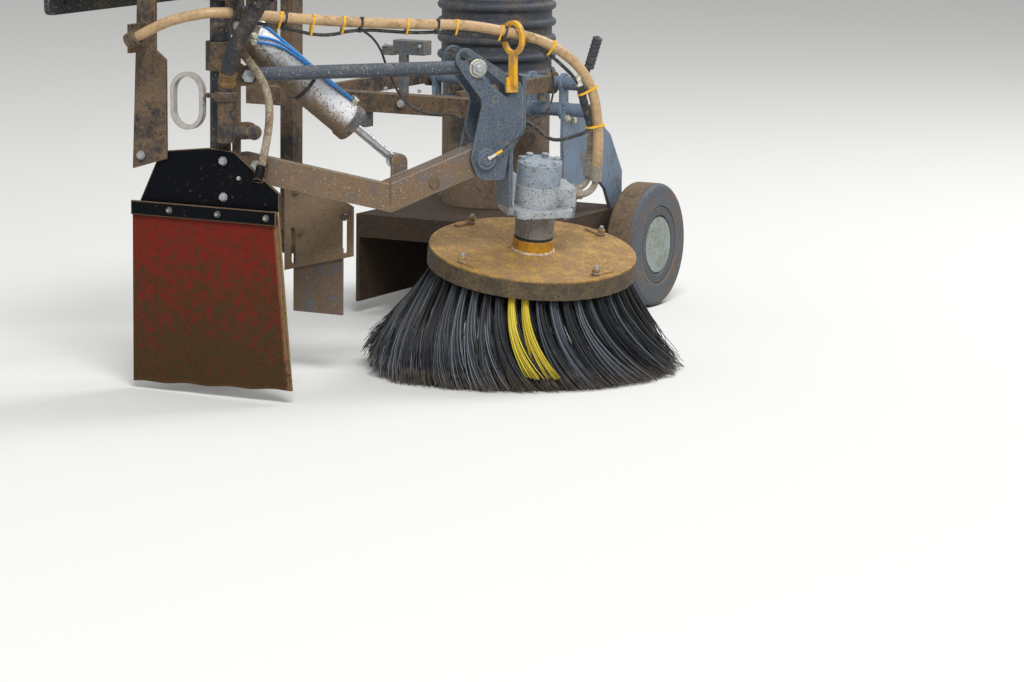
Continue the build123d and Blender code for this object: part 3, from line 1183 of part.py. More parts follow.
# Suction duct and the ribbed rubber sleeve above it
duct_height = DUCT_TOP_Z - NOZZLE_TOP_Z
with BuildPart() as suction_duct:
    with BuildSketch(duct_base):
        Circle(DUCT_DIAMETER / 2)
        Circle(DUCT_DIAMETER / 2 - DUCT_WALL, mode=Mode.SUBTRACT)
    extrude(amount=duct_height)
suction_duct.part.label = "suction_duct"
export_step(suction_duct.part, "parts/suction_duct.step")

sleeve_height = SLEEVE_TOP_Z - DUCT_TOP_Z
sleeve_bore = DUCT_DIAMETER / 2 - DUCT_WALL
rib_centre = SLEEVE_DIAMETER / 2 - SLEEVE_RIB_RADIUS
rib_pitch = sleeve_height / SLEEVE_RIB_COUNT
with BuildPart() as suction_sleeve:
    with BuildSketch(Plane(origin=(DUCT_X, duct_y, DUCT_TOP_Z), x_dir=(1, 0, 0), z_dir=(0, -1, 0))):
        with Locations(((sleeve_bore + rib_centre) / 2, sleeve_height / 2)):
            Rectangle(rib_centre - sleeve_bore, sleeve_height)
        for rib in range(SLEEVE_RIB_COUNT):
            with Locations((rib_centre, (rib + 0.5) * rib_pitch)):
                Circle(SLEEVE_RIB_RADIUS)
    revolve(axis=Axis((DUCT_X, duct_y, 0), (0, 0, 1)))
suction_sleeve.part.label = "suction_sleeve"
export_step(suction_sleeve.part, "parts/suction_sleeve.step")

# Jockey wheels: solid tyre with rounded shoulders and a flat hub, one at each nozzle end
for side, face_x, direction in (("outer", NOZZLE_OUTER_X, 1), ("inner", NOZZLE_INNER_X, -1)):
    start_x = face_x + direction * WHEEL_GAP
    wheel_plane = Plane(origin=(start_x, wheel_y, wheel_centre_z), x_dir=(0, 1, 0), z_dir=(direction, 0, 0))
    with BuildPart() as wheel_tyre:
        with BuildSketch(wheel_plane):
            Circle(WHEEL_DIAMETER / 2)
            Circle(WHEEL_HUB_DIAMETER / 2, mode=Mode.SUBTRACT)
        extrude(amount=WHEEL_WIDTH)
        shoulders = wheel_tyre.part.edges().filter_by(GeomType.CIRCLE).sort_by(SortBy.RADIUS)[-2:]
        fillet(shoulders, TYRE_SHOULDER_RADIUS)
    wheel_tyre.part.label = f"wheel_tyre_{side}"
    export_step(wheel_tyre.part, f"parts/wheel_tyre_{side}.step")

    with BuildPart() as wheel_hub:
        with BuildSketch(wheel_plane.offset(HUB_INSET)):
            Circle(WHEEL_HUB_DIAMETER / 2)
        extrude(amount=WHEEL_WIDTH - HUB_INSET - HUB_FACE_DEPTH)
        with BuildSketch(wheel_plane.offset(WHEEL_WIDTH - HUB_FACE_DEPTH)):
            Circle(WHEEL_CAP_DIAMETER / 2)
        extrude(amount=HUB_INSET)
        with BuildSketch(wheel_plane):
            Circle(HUB_BOSS_DIAMETER / 2)
        extrude(amount=HUB_INSET)
        with BuildSketch(wheel_plane):
            Circle(AXLE_DIAMETER / 2 + FIT_CLEARANCE)
        extrude(amount=WHEEL_WIDTH - AXLE_TIP_GAP + 1, mode=Mode.SUBTRACT)
    wheel_hub.part.label = f"wheel_hub_{side}"
    export_step(wheel_hub.part, f"parts/wheel_hub_{side}.step")

# Hose strap: moulded loop round the hoses with a foot on the near fork plate
hanger_turn = math.radians(HANGER_TURN)
hanger_at = from_fork([HANGER_AT])[0]
foot_at = from_fork([(HANGER_AT[0], FOOT_TOP - FOOT_HEIGHT / 2)])[0]
hanger_side = fork_outer + HANGER_STANDOFF
hanger_normal = along * math.cos(hanger_turn) - aside * math.sin(hanger_turn)
HANGER = Plane(
    origin=link_point(*hanger_at, hanger_side),
    x_dir=Vector(0, 0, 1).cross(hanger_normal),
    z_dir=hanger_normal,
)
hanger_bore = (HANGER_HEIGHT - 2 * HANGER_BAR, HANGER_WIDTH - 2 * HANGER_BAR)
shank_top = (HANGER_HEIGHT - HANGER_BAR) / 2
shank_length = HANGER_AT[1] - shank_top - FOOT_TOP + FOOT_HEIGHT / 2
with BuildPart() as hose_hanger:
    with BuildSketch(HANGER.offset(-HANGER_THICK / 2)):
        SlotOverall(HANGER_HEIGHT, HANGER_WIDTH, rotation=90)
        SlotOverall(hanger_bore[0], hanger_bore[1], rotation=90, mode=Mode.SUBTRACT)
        with Locations((0, -(shank_top + shank_length / 2))):
            Rectangle(SHANK_WIDTH, shank_length)
    extrude(amount=HANGER_THICK)
    with BuildSketch(LINK.offset(fork_outer)):
        with Locations(foot_at):
            Rectangle(FOOT_WIDTH, FOOT_HEIGHT)
    extrude(amount=HANGER_THICK)
hose_hanger.part.label = "hose_hanger"
export_step(hose_hanger.part, "parts/hose_hanger.step")

# Hoses: routes in tuples are given along, above and beside the arm pivot, and those in vectors
# in the part's frame
ferrule_top = ferrule_base + FERRULE_LENGTH


def port_place(side, height):
    """Place above one motor port, given along, above and beside the arm pivot."""
    place = LINK.to_local_coords(BROOM.from_local_coords((ferrule_reach, side * PORT_SPACING / 2, height)))
    return (place.X, place.Y, place.Z)


HOSE_ROOT = (-30.0, 326.0, 62.0)
HOSE_MIDDLE = (262.0, 300.2, 61.0)
HOSE_HEAD = (hanger_at[0], hanger_at[1] + HANGER_HOSE_RISE, hanger_side - 1)
root_route = [HOSE_ROOT, (45.0, 317.8, 62.0), (118.0, 310.4, 62.0), (190.0, 304.3, 62.0), HOSE_MIDDLE]
arm_route = [HOSE_MIDDLE, (340.0, 295.76, 59.917), (425.0, 293.5, 55.0), (500.0, 286.5, 52.0), HOSE_HEAD]
drop_route = [
    HOSE_HEAD,
    (hanger_at[0] + 55.0, hanger_at[1] - 2.0, 50.225),
    (hanger_at[0] + 111.0, hanger_at[1] - 29.5, 47.0),
    (hanger_at[0] + 163.0, hanger_at[1] - 70.0, 43.0),
    (hanger_at[0] + 193.0, hanger_at[1] - 124.0, 40.0),
    (hanger_at[0] + 204.0, hanger_at[1] - 178.0, 36.5),
    port_place(-1, ferrule_top + HOSE_LEAD),
    port_place(-1, ferrule_top),
]
second_route = [
    (hanger_at[0] + 196.0, hanger_at[1] - 152.0, 32.0),
    (hanger_at[0] + 206.0, hanger_at[1] - 192.0, 12.0),
    port_place(1, ferrule_top + HOSE_LEAD * 0.9),
    port_place(1, ferrule_top),
]
gland_centre = link_point(*HOSE_ROOT)
lead_out = (gland_centre - link_point(*root_route[1])).normalized()
lead_route = [gland_centre, gland_centre + lead_out * LEAD_FIRST_RUN, *LEAD_BENDS, LEAD_END]
feed_top = Vector(548.0, -362.0, -48.0)
feed_route = [
    feed_top,
    Vector(528.0, -362.0, -78.0),
    Vector(505.0, -360.0, -110.0),
    Vector(482.0, -356.0, -146.0),
    feed_foot + feed_lean * (FEED_FITTING_LENGTH + 40),
    feed_foot + feed_lean * FEED_FITTING_LENGTH,
]
spray_route = [
    spray_start,
    spray_start + spray_run * 30,
    link_point(9.0, 180.0, 63.0),
    link_point(18.0, 144.0, 68.0),
    link_point(17.0, 108.0, 75.0),
    link_point(10.0, 74.0, 82.0),
    link_point(0.0, 44.0, 95.0),
    link_point(*SPRAY_END),
]
hose_routes = [
    ("hose_lead", HOSE_DIAMETER, lead_route),
    ("feed_hose", FEED_HOSE_DIAMETER, feed_route),
    ("spray_hose", SPRAY_HOSE_DIAMETER, spray_route),
    ("hose_root_run", HOSE_DIAMETER, root_route),
    ("hose_arm_run", HOSE_DIAMETER, arm_route),
    ("hose_drop", HOSE_DIAMETER, drop_route),
    ("second_hose", SECOND_HOSE_DIAMETER, second_route),
]


def tube(route, diameter):
    """Round hose along straight runs joined by arcs as large as the runs allow; returns the radii too."""
    places = [Vector(stop) if isinstance(stop, Vector) else link_point(*stop) for stop in route]
    runs = [after - before for before, after in zip(places, places[1:])]
    radii = []
    for before, after in zip(runs, runs[1:]):
        turn = math.radians(before.get_angle(after))
        radii.append(0.45 * min(before.length, after.length) / math.tan(turn / 2))
    with BuildPart() as hose:
        with BuildLine() as path:
            FilletPolyline(*places, radius=radii)
        with BuildSketch(Plane(origin=places[0], z_dir=runs[0])):
            Circle(diameter / 2)
        sweep(path=path.wire())
    section = math.pi * diameter**2 / 4
    print("hose", round(path.wire().length, 1), "radii", [round(radius) for radius in radii])
    print("hose volume over section times length", hose.part.volume / section / path.wire().length)
    return hose


for node, diameter, route in hose_routes:
    hose = tube(route, diameter)
    hose.part.label = node
    export_step(hose.part, f"parts/{node}.step")

# Hose gland: sleeve round the long hose, on a tab from the end of the front outrigger, and a
# shelf with the collar that the feed hose comes out of
gland_plane = Plane(origin=gland_centre, z_dir=lead_out)
feed_plane = Plane(origin=feed_top, z_dir=feed_top - feed_route[1])
outrigger_end = post_centre.X + OUTRIGGER_WIDTH / 2
shelf_outline = [
    (outrigger_end, post_centre.Y),
    (outrigger_end, outrigger_front_y),
    (feed_top.X - 30, feed_top.Y - 28),
    (feed_top.X + 36, feed_top.Y - 28),
    (feed_top.X + 36, feed_top.Y + 24),
]
with BuildPart() as hose_gland:
    with BuildSketch(gland_plane):
        Circle(HOSE_DIAMETER / 2 + GLAND_WALL)
    extrude(amount=GLAND_LENGTH)
    with BuildSketch(Plane.XY.offset(gland_centre.Z + HOSE_DIAMETER / 2 - 4)):
        with Locations(((outrigger_end + gland_centre.X - 8) / 2, outrigger_front_y + GLAND_TAB_WIDTH / 2)):
            Rectangle(gland_centre.X - 8 - outrigger_end, GLAND_TAB_WIDTH)
    extrude(amount=SHELF_Z - gland_centre.Z - HOSE_DIAMETER / 2 + 4)
    with BuildSketch(Plane.XY.offset(SHELF_Z)):
        with BuildLine():
            Polyline(*shelf_outline, close=True)
        make_face()
    extrude(amount=SHELF_THICK)
    with BuildSketch(feed_plane):
        Circle(FEED_HOSE_DIAMETER / 2 + GLAND_WALL)
    extrude(amount=FEED_GLAND_LENGTH)
    with BuildSketch(gland_plane.offset(-GLAND_LENGTH)):
        Circle(HOSE_DIAMETER / 2)
    extrude(amount=3 * GLAND_LENGTH, mode=Mode.SUBTRACT)
hose_gland.part.label = "hose_gland"
export_step(hose_gland.part, "parts/hose_gland.step")
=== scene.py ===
import math

import bpy
import numpy as np
from mathutils import Matrix, Vector


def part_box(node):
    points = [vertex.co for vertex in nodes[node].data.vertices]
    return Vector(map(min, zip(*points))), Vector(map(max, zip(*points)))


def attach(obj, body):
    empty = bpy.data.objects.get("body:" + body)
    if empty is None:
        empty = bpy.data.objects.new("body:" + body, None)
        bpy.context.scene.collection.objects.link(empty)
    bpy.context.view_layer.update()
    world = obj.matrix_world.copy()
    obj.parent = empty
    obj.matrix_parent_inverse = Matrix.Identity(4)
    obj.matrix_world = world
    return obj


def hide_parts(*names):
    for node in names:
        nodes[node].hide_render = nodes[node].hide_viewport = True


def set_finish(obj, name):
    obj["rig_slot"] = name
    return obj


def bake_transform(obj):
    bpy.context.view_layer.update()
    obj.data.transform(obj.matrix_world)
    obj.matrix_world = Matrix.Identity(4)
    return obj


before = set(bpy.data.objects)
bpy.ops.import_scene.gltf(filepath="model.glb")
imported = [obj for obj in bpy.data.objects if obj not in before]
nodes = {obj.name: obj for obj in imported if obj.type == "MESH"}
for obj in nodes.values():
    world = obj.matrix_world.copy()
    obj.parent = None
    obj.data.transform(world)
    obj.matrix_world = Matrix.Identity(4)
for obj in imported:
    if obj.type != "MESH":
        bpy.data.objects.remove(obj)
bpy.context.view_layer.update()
bpy.context.scene.view_settings.view_transform = "Standard"

# Camera
# The view of a long lens at the kerb, well in front of the sweep gear and a little above it,
# looking back along the side of the road sweeper.
CAMERA_PLACE = Vector((4.826, -7.323, 0.623))
CAMERA_YAW, CAMERA_PITCH, CAMERA_ROLL = math.radians(27.9), math.radians(9.5), math.radians(0.6)
FOCAL_LENGTH_PIXELS, PHOTO_WIDTH_PIXELS, SENSOR_WIDTH = 3985.0, 1024.0, 36.0

ahead = Vector(
    (
        -math.sin(CAMERA_YAW) * math.cos(CAMERA_PITCH),
        math.cos(CAMERA_YAW) * math.cos(CAMERA_PITCH),
        -math.sin(CAMERA_PITCH),
    )
)
level = Vector((math.cos(CAMERA_YAW), math.sin(CAMERA_YAW), 0.0))
upright = level.cross(ahead)
camera_x = level * math.cos(CAMERA_ROLL) + upright * math.sin(CAMERA_ROLL)
camera_y = upright * math.cos(CAMERA_ROLL) - level * math.sin(CAMERA_ROLL)
turn = Matrix((camera_x, camera_y, -ahead)).transposed().to_4x4()
camera = bpy.data.objects.new("camera", bpy.data.cameras.new("camera"))
camera.matrix_world = Matrix.Translation(CAMERA_PLACE) @ turn
camera.data.sensor_width = SENSOR_WIDTH
camera.data.lens = FOCAL_LENGTH_PIXELS * SENSOR_WIDTH / PHOTO_WIDTH_PIXELS
bpy.context.scene.collection.objects.link(camera)
bpy.context.scene.camera = camera

# Hydraulic and water hoses
# Cream wrapped hoses that sag smoothly between their clips, a dark rubber feed hose and the cables
# tied under them, all under road mud. Each hose follows the route of its CAD solid.

# The plane of the linkage and the broom's own axes, as part.py has them.
ARM_PIVOT = np.array((0.449, -0.237, -0.402))
ALONG = np.array((0.642788, 0.766044, 0.0))
ASIDE = np.array((0.766044, -0.642788, 0.0))
UP = np.array((0.0, 0.0, 1.0))
BROOM_CENTRE = np.array((0.847045, 0.284043, -0.610))
BROOM_AXIS = np.array((0.136313, -0.114380, 0.984041))
BROOM_BACK = np.cross(BROOM_AXIS, ALONG)
HOSE_DIAMETER, SECOND_HOSE_DIAMETER, FEED_HOSE_DIAMETER, SPRAY_HOSE_DIAMETER = 0.022, 0.019, 0.0329, 0.017
CABLE_DIAMETER, WIRE_DIAMETER, SENSOR_WIRE_DIAMETER, LOOP_DIAMETER = 0.0075, 0.005, 0.0045, 0.008
CABLE_REACH = 0.0042
BUMP_HEIGHT = 0.0016
TIE_WIDTH, TIE_THICKNESS, TIE_LOCK, TIE_SINK = 0.0046, 0.0013, 0.0038, 0.0004
TIE_COLUMNS = 40


def paint(hex_colour):
    """Linear RGBA of an sRGB hex colour: each channel over 12.92, or raised to 2.4 above 0.04045."""
    s = np.array([int(hex_colour[i : i + 2], 16) for i in (1, 3, 5)]) / 255
    linear = np.where(s <= 0.04045, s / 12.92, ((s + 0.055) / 1.055) ** 2.4)
    return (*linear.tolist(), 1.0)


def add(tree, kind, settings=None, links=None, out=0):
    """Adds one shader node: settings are its properties, links its inputs by name or number, each
    a value or another node's output. Returns the output that out names or numbers."""
    made = tree.nodes.new("ShaderNode" + kind)
    for key, value in (settings or {}).items():
        setattr(made, key, value)
    for key, value in (links or {}).items():
        if isinstance(value, bpy.types.NodeSocket):
            tree.links.new(value, made.inputs[key])
        else:
            made.inputs[key].default_value = value
    return made.outputs[out] if len(made.outputs) else made


def soiled(
    name, clean, mud, cover, roughness=0.55, metallic=0.0, worn=None, wear=0.0, splash=None,
    splash_size=0.005, splash_share=0.0, wet=(0.0, 0.0, 0.0), patch=0.03, edge=0.0025,
    grain=0.0012, relief=1.0, zones=(), soft=0.16, gloss=0.3,
):
    """A finish under road dirt, on Object coordinates. The clean finish is two hex tones mixed by
    fine noise of that grain; worn is its tone on edges rounded by edge metres, and wear how far they
    show it. Mud, in two tones, covers the share cover in patches of that size in metres with a border
    of width soft, and wet = (top, bottom, share) adds mud from one height down to another. splash is
    the tone of dried drops of splash_size, on about splash_share of the cells. Each of zones =
    (origin, direction, from, to, tones, mud, blur) recolours the finish between two distances along
    a direction, with a border of width blur, and thins or thickens the mud there. relief is the
    strength of the bumps, and gloss that of the shine, low for dusty and rubbery surfaces."""
    material = bpy.data.materials.new(name)
    material.use_nodes = True
    tree = material.node_tree
    tree.nodes.clear()
    place = add(tree, "TexCoord", out="Object")
    broad = add(tree, "TexNoise", None, {"Vector": place, "Scale": 1 / patch, "Detail": 6.0, "Roughness": 0.68})
    middle = add(tree, "TexNoise", None, {"Vector": place, "Scale": 4.5 / patch, "Detail": 5.0, "Roughness": 0.7})
    fine = add(tree, "TexNoise", None, {"Vector": place, "Scale": 0.35 / grain, "Detail": 3.0, "Roughness": 0.7})
    tones = add(tree, "MapRange", {"interpolation_type": "SMOOTHSTEP"}, {0: fine, 1: 0.36, 2: 0.64})
    finish = add(tree, "Mix", {"data_type": "RGBA"}, {0: tones, 6: paint(clean[0]), 7: paint(clean[1])}, 2)
    spread = add(tree, "Math", {"operation": "MULTIPLY_ADD"}, {0: middle, 1: 0.7, 2: -0.35})
    spread = add(tree, "Math", {"operation": "ADD"}, {0: spread, 1: broad})
    spread = add(tree, "Math", {"operation": "MULTIPLY_ADD"}, {0: fine, 1: 0.5, 2: spread})
    for origin, direction, low, high, pair, more, *blur in zones:
        blur = blur[0] if blur else 0.0006
        away = add(tree, "VectorMath", {"operation": "SUBTRACT"}, {0: place, 1: tuple(origin)})
        reach = add(tree, "VectorMath", {"operation": "DOT_PRODUCT"}, {0: away, 1: tuple(direction)}, "Value")
        after = add(tree, "MapRange", None, {0: reach, 1: low - blur, 2: low + blur})
        before = add(tree, "MapRange", None, {0: reach, 1: high - blur, 2: high + blur, 3: 1.0, 4: 0.0})
        here = add(tree, "Math", {"operation": "MULTIPLY"}, {0: after, 1: before})
        other = add(tree, "Mix", {"data_type": "RGBA"}, {0: tones, 6: paint(pair[0]), 7: paint(pair[1])}, 2)
        finish = add(tree, "Mix", {"data_type": "RGBA"}, {0: here, 6: finish, 7: other}, 2)
        spread = add(tree, "Math", {"operation": "MULTIPLY_ADD"}, {0: here, 1: more, 2: spread})
    rounded = add(tree, "Bevel", {"samples": 4}, {"Radius": edge})
    if worn is not None:
        flat = add(tree, "NewGeometry", out="Normal")
        same = add(tree, "VectorMath", {"operation": "DOT_PRODUCT"}, {0: rounded, 1: flat}, "Value")
        rim = add(tree, "MapRange", None, {0: same, 1: 0.995, 2: 0.86, 3: 0.0, 4: 1.6 * wear})
        rubbed = add(tree, "Math", {"operation": "MULTIPLY", "use_clamp": True}, {0: rim, 1: middle})
        finish = add(tree, "Mix", {"data_type": "RGBA"}, {0: rubbed, 6: finish, 7: paint(worn)}, 2)
        spread = add(tree, "Math", {"operation": "MULTIPLY_ADD"}, {0: rubbed, 1: -0.25, 2: spread})
    height = add(tree, "SeparateXYZ", None, {0: place}, "Z")
    low = add(tree, "MapRange", None, {0: height, 1: wet[0], 2: wet[1] - 1e-4, 3: 0.0, 4: wet[2]})
    spread = add(tree, "Math", {"operation": "ADD"}, {0: spread, 1: low})
    edge_of_mud = 0.75 + 0.42 * (0.5 - cover)
    border = {0: spread, 1: edge_of_mud - soft, 2: edge_of_mud + soft}
    film = add(tree, "MapRange", {"interpolation_type": "SMOOTHSTEP"}, border)
    earth = add(tree, "Mix", {"data_type": "RGBA"}, {0: tones, 6: paint(mud[0]), 7: paint(mud[1])}, 2)
    shade = add(tree, "MapRange", None, {0: middle, 1: 0.3, 2: 0.7, 3: 0.86, 4: 1.12})
    earth = add(tree, "VectorMath", {"operation": "SCALE"}, {0: earth, "Scale": shade})
    colour = add(tree, "Mix", {"data_type": "RGBA"}, {0: film, 6: finish, 7: earth}, 2)
    raised = film
    if splash is not None:
        cells = add(tree, "TexVoronoi", None, {"Vector": place, "Scale": 1 / splash_size}, "Distance")
        cell_tone = cells.node.outputs["Color"]
        chance = add(tree, "SeparateColor", None, {0: cell_tone}, 0)
        room = add(tree, "MapRange", None, {0: chance, 1: 1 - splash_share, 2: 1.0, 3: 0.0, 4: 0.42})
        inside = add(tree, "Math", {"operation": "SUBTRACT"}, {0: room, 1: cells})
        drop = add(tree, "MapRange", None, {0: inside, 1: -0.02, 2: 0.06})
        colour = add(tree, "Mix", {"data_type": "RGBA"}, {0: drop, 6: colour, 7: paint(splash)}, 2)
        raised = add(tree, "Math", {"operation": "MAXIMUM"}, {0: film, 1: drop})
    dull = add(tree, "MapRange", None, {0: raised, 3: roughness, 4: 0.82})
    bare = add(tree, "MapRange", None, {0: raised, 3: metallic, 4: 0.0})
    depth = add(tree, "Math", {"operation": "MULTIPLY_ADD"}, {0: raised, 1: 0.7, 2: middle})
    depth = add(tree, "Math", {"operation": "MULTIPLY_ADD"}, {0: fine, 1: 0.6, 2: depth})
    bump = {"Strength": 0.5 * relief, "Distance": BUMP_HEIGHT, "Height": depth, "Normal": rounded}
    bumps = add(tree, "Bump", None, bump)
    links = {"Base Color": colour, "Roughness": dull, "Metallic": bare, "Normal": bumps, "Specular IOR Level": gloss}
    surface = add(tree, "BsdfPrincipled", None, links)
    add(tree, "OutputMaterial", None, {"Surface": surface})
    return material


def on_link(rows):
    """Places in the row frame of points (along, above, beside) the arm pivot, in millimetres."""
    u, v, side = np.array(rows, float).T[:, :, None] / 1000
    return ARM_PIVOT + u * ALONG + v * UP + side * ASIDE


def on_broom(rows):
    """Places in the row frame of points in the broom's own axes, in millimetres."""
    x, y, z = np.array(rows, float).T[:, :, None] / 1000
    return BROOM_CENTRE + x * ALONG + y * BROOM_BACK + z * BROOM_AXIS


def lay_hose(name, route, diameter, material, body, slot):
    """A hose or cable as one NURBS spline with its route as control points, and a round section."""
    curve = bpy.data.curves.new(name + "_line", "CURVE")
    curve.dimensions = "3D"
    spline = curve.splines.new("NURBS")
    spline.points.add(len(route) - 1)
    spline.points.foreach_set("co", np.column_stack([route, np.ones(len(route))]).ravel())
    spline.points.foreach_set("radius", np.full(len(route), diameter / 2))
    spline.order_u = 3
    spline.use_endpoint_u = True
    spline.resolution_u = 16
    curve.bevel_depth = 1.0
    curve.bevel_resolution = 7 if diameter > 0.01 else 3
    curve.use_fill_caps = True
    curve.materials.append(material)
    hose = bpy.data.objects.new(name, curve)
    bpy.context.scene.collection.objects.link(hose)
    if isinstance(body, str):
        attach(hose, body)
    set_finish(hose, slot)
    return hose


def centre_line(hose):
    """Points along a hose's own line, as Blender gives them for the curve without its section, and
    the length of the hose up to each."""
    hose.data.bevel_depth = 0.0
    line = bpy.data.meshes.new_from_object(hose)
    points = np.empty(3 * len(line.vertices))
    line.vertices.foreach_get("co", points)
    bpy.data.meshes.remove(line)
    hose.data.bevel_depth = 1.0
    points = points.reshape(-1, 3)
    steps = np.linalg.norm(np.diff(points, axis=0), axis=1)
    return points, np.concatenate([[0.0], np.cumsum(steps)])


def hose_length(hose):
    """The length of a hose along its own line, in metres to four places."""
    return round(float(centre_line(hose)[1][-1]), 4)


def settle(piece, body):
    """The piece rides on a body or, where body is (a, b, start, end), keeps its place with its transform baked into
    its mesh; the bodies and points in that tuple are not used."""
    if isinstance(body, str):
        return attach(piece, body)
    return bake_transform(piece)


def bent_tube(hose, bend):
    """A mesh tube in place of a hose or cable that crosses a joint, and the points that it follows."""
    line = centre_line(hose)[0]
    mesh = bpy.data.meshes.new_from_object(hose)
    name, held_slot = hose.name, hose["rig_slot"]
    bpy.data.objects.remove(hose)
    tube = bpy.data.objects.new(name, mesh)
    bpy.context.scene.collection.objects.link(tube)
    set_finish(tube, held_slot)
    return settle(tube, bend), line


def add_piece(name, points, faces, material, body, slot=None, smooth=True, crease=None):
    """A mesh piece at the origin from its points and its faces, with one finish, settled on a body.
    Edges that turn by more than crease, in radians, stay sharp."""
    mesh = bpy.data.meshes.new(name)
    mesh.from_pydata(np.asarray(points, float).reshape(-1, 3).tolist(), [], faces)
    mesh.validate()
    mesh.materials.append(material)
    mesh.polygons.foreach_set("use_smooth", [smooth] * len(mesh.polygons))
    if crease:
        mesh.set_sharp_from_angle(angle=crease)
    piece = bpy.data.objects.new(name, mesh)
    bpy.context.scene.collection.objects.link(piece)
    settle(piece, body)
    if slot:
        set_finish(piece, slot)
    return piece


def grid_faces(rows, columns, wrap=True, start=0, ring=False):
    """Quads between neighbouring rows of a grid of points; wrap joins the last column to the first,
    and ring the last row to the first."""
    i, j = np.meshgrid(np.arange(rows - (not ring)), np.arange(columns - (not wrap)), indexing="ij")
    k, m = (j + 1) % columns, (i + 1) % rows
    quads = np.stack([i * columns + j, i * columns + k, m * columns + k, m * columns + j], -1)
    return (quads.reshape(-1, 4) + start).tolist()


def tie_round(name, hose, shares, beside, radii, material, body):
    """Cable ties round a hose and the line beside it. A tie is a thin band on the outline that a
    string drawn tight round both circles takes: at the angle a it lies at the hose's radius, or at
    the line's centre plus its radius, whichever reaches further. Its lock is a lump on one side."""
    line, reach = centre_line(hose)
    at = np.array(shares) * reach[-1]
    centre, ahead, behind = (
        np.stack([np.interp(at + step, reach, line[:, k]) for k in range(3)], -1) for step in (0, 0.004, -0.004)
    )
    axis = (ahead - behind) / np.linalg.norm(ahead - behind, axis=1, keepdims=True)
    flat = ASIDE - (axis @ ASIDE)[:, None] * axis
    flat /= np.linalg.norm(flat, axis=1, keepdims=True)
    lift = np.cross(axis, flat)
    nearest = np.linalg.norm(beside[None] - centre[:, None], axis=-1).argmin(axis=1)
    offset = beside[nearest] - centre
    offset -= (offset * axis).sum(-1, keepdims=True) * axis
    a = np.linspace(0, 2 * np.pi, TIE_COLUMNS + 1)[:-1]
    normal = np.cos(a)[:, None, None] * flat + np.sin(a)[:, None, None] * lift
    outer = (normal * offset).sum(-1) + radii[1] > radii[0]
    outline = np.where(outer[..., None], offset + radii[1] * normal, radii[0] * normal)
    lump = np.exp(-((np.mod(a + 0.9 + np.pi, 2 * np.pi) - np.pi) ** 2) / 0.06)[:, None, None]
    thickness = TIE_THICKNESS + TIE_LOCK * lump
    half_width = TIE_WIDTH / 2 * (1 + 0.6 * lump)
    rows = [
        centre + outline + (outside * thickness - TIE_SINK) * normal + side * half_width * axis
        for side, outside in ((-1, 0.0), (-1, 1.0), (1, 1.0), (1, 0.0))
    ]
    points = np.stack(rows).transpose(2, 0, 1, 3)
    starts = range(0, len(at) * 4 * TIE_COLUMNS, 4 * TIE_COLUMNS)
    faces = [face for start in starts for face in grid_faces(4, TIE_COLUMNS, start=start, ring=True)]
    return add_piece(name, points, faces, material, body, smooth=False)


# Woven nylon wrap: an even cream with a soft sheen, browner where drops have dried.
cream_wrap = soiled(
    "cream_nylon_hose_wrap", ("#a98c66", "#b99d78"), ("#86694a", "#75603f"),
    cover=0.22, roughness=0.38, splash="#8a7052", splash_share=0.25, patch=0.05, edge=0.0005, relief=0.35,
    gloss=0.35,
)
# The same woven wrap with mud worked into it: dull, in grey and brown patches.
muddy_wrap = soiled(
    "spray_hose_wrap_under_mud", ("#a49a84", "#8c8272"), ("#5c4a38", "#776350"),
    cover=0.45, roughness=0.5, edge=0.0005,
)
# Moulded rubber: near black and dull, with dust in its pores.
feed_rubber = soiled(
    "black_rubber_feed_hose", ("#26272b", "#35373c"), ("#54483d", "#665849"),
    cover=0.22, roughness=0.6, patch=0.04, edge=0.0005,
)
# Extruded rubber: near black, with a narrow highlight that runs along the cable.
black_rubber = soiled(
    "black_rubber_cable", ("#1d1f22", "#303338"), ("#5c5248", "#6f6254"),
    cover=0.20, roughness=0.45, patch=0.02, edge=0.0004, relief=0.3,
)
# Moulded nylon: a warm, waxy yellow.
yellow_nylon = soiled(
    "yellow_nylon_tie", ("#d9a21c", "#e6b32c"), ("#8b7350", "#a28a62"),
    cover=0.12, roughness=0.4, patch=0.02, edge=0.0005, relief=0.3,
)

ROOT, MIDDLE, HEAD = (-30, 326, 62), (262, 300.2, 61), (571, 271, 51)
root_route = on_link([ROOT, (45, 317.8, 62), (118, 310.4, 62), (190, 304.3, 62), MIDDLE])
arm_route = on_link([MIDDLE, (340, 295.76, 59.917), (425, 293.5, 55), (500, 286.5, 52), HEAD])
drop_start = on_link(
    [HEAD, (626, 259, 50.225), (682, 231.5, 47), (734, 191, 43), (764, 137, 40), (775, 83, 36.5)]
)
drop_route = np.vstack([drop_start, on_broom([(126, -20, 242), (126, -20, 192)])])
second_start = on_link([(767, 109, 32), (777, 69, 12)])
second_route = np.vstack([second_start, on_broom([(126, 20, 237), (126, 20, 192)])])
lead_route = np.array(
    [
        (0.477212, -0.299834, -0.0760), (0.437595, -0.347047, -0.069261), (0.3857, -0.3797, -0.0792),
        (0.3280, -0.3946, -0.0970), (0.2730, -0.3959, -0.1260),
    ]
)
feed_route = np.array(
    [
        (0.548, -0.362, -0.048), (0.528, -0.362, -0.078), (0.505, -0.360, -0.110), (0.482, -0.356, -0.146),
        (0.46552, -0.34851, -0.18092), (0.45346, -0.33645, -0.21710),
    ]
)
spray_route = on_link(
    [
        (-28.5, 233.9, 59), (-9.2, 210.9, 59), (9, 180, 63), (18, 144, 68), (17, 108, 75), (10, 74, 82),
        (0, 44, 95), (-12, 14, 107),
    ]
)
under_root_route = on_link(
    [(-27, 309, 60), (25, 301, 58), (75, 290, 56), (118, 279, 56), (160, 277, 57), (203, 287, 59), (250, 285.5, 60)]
)
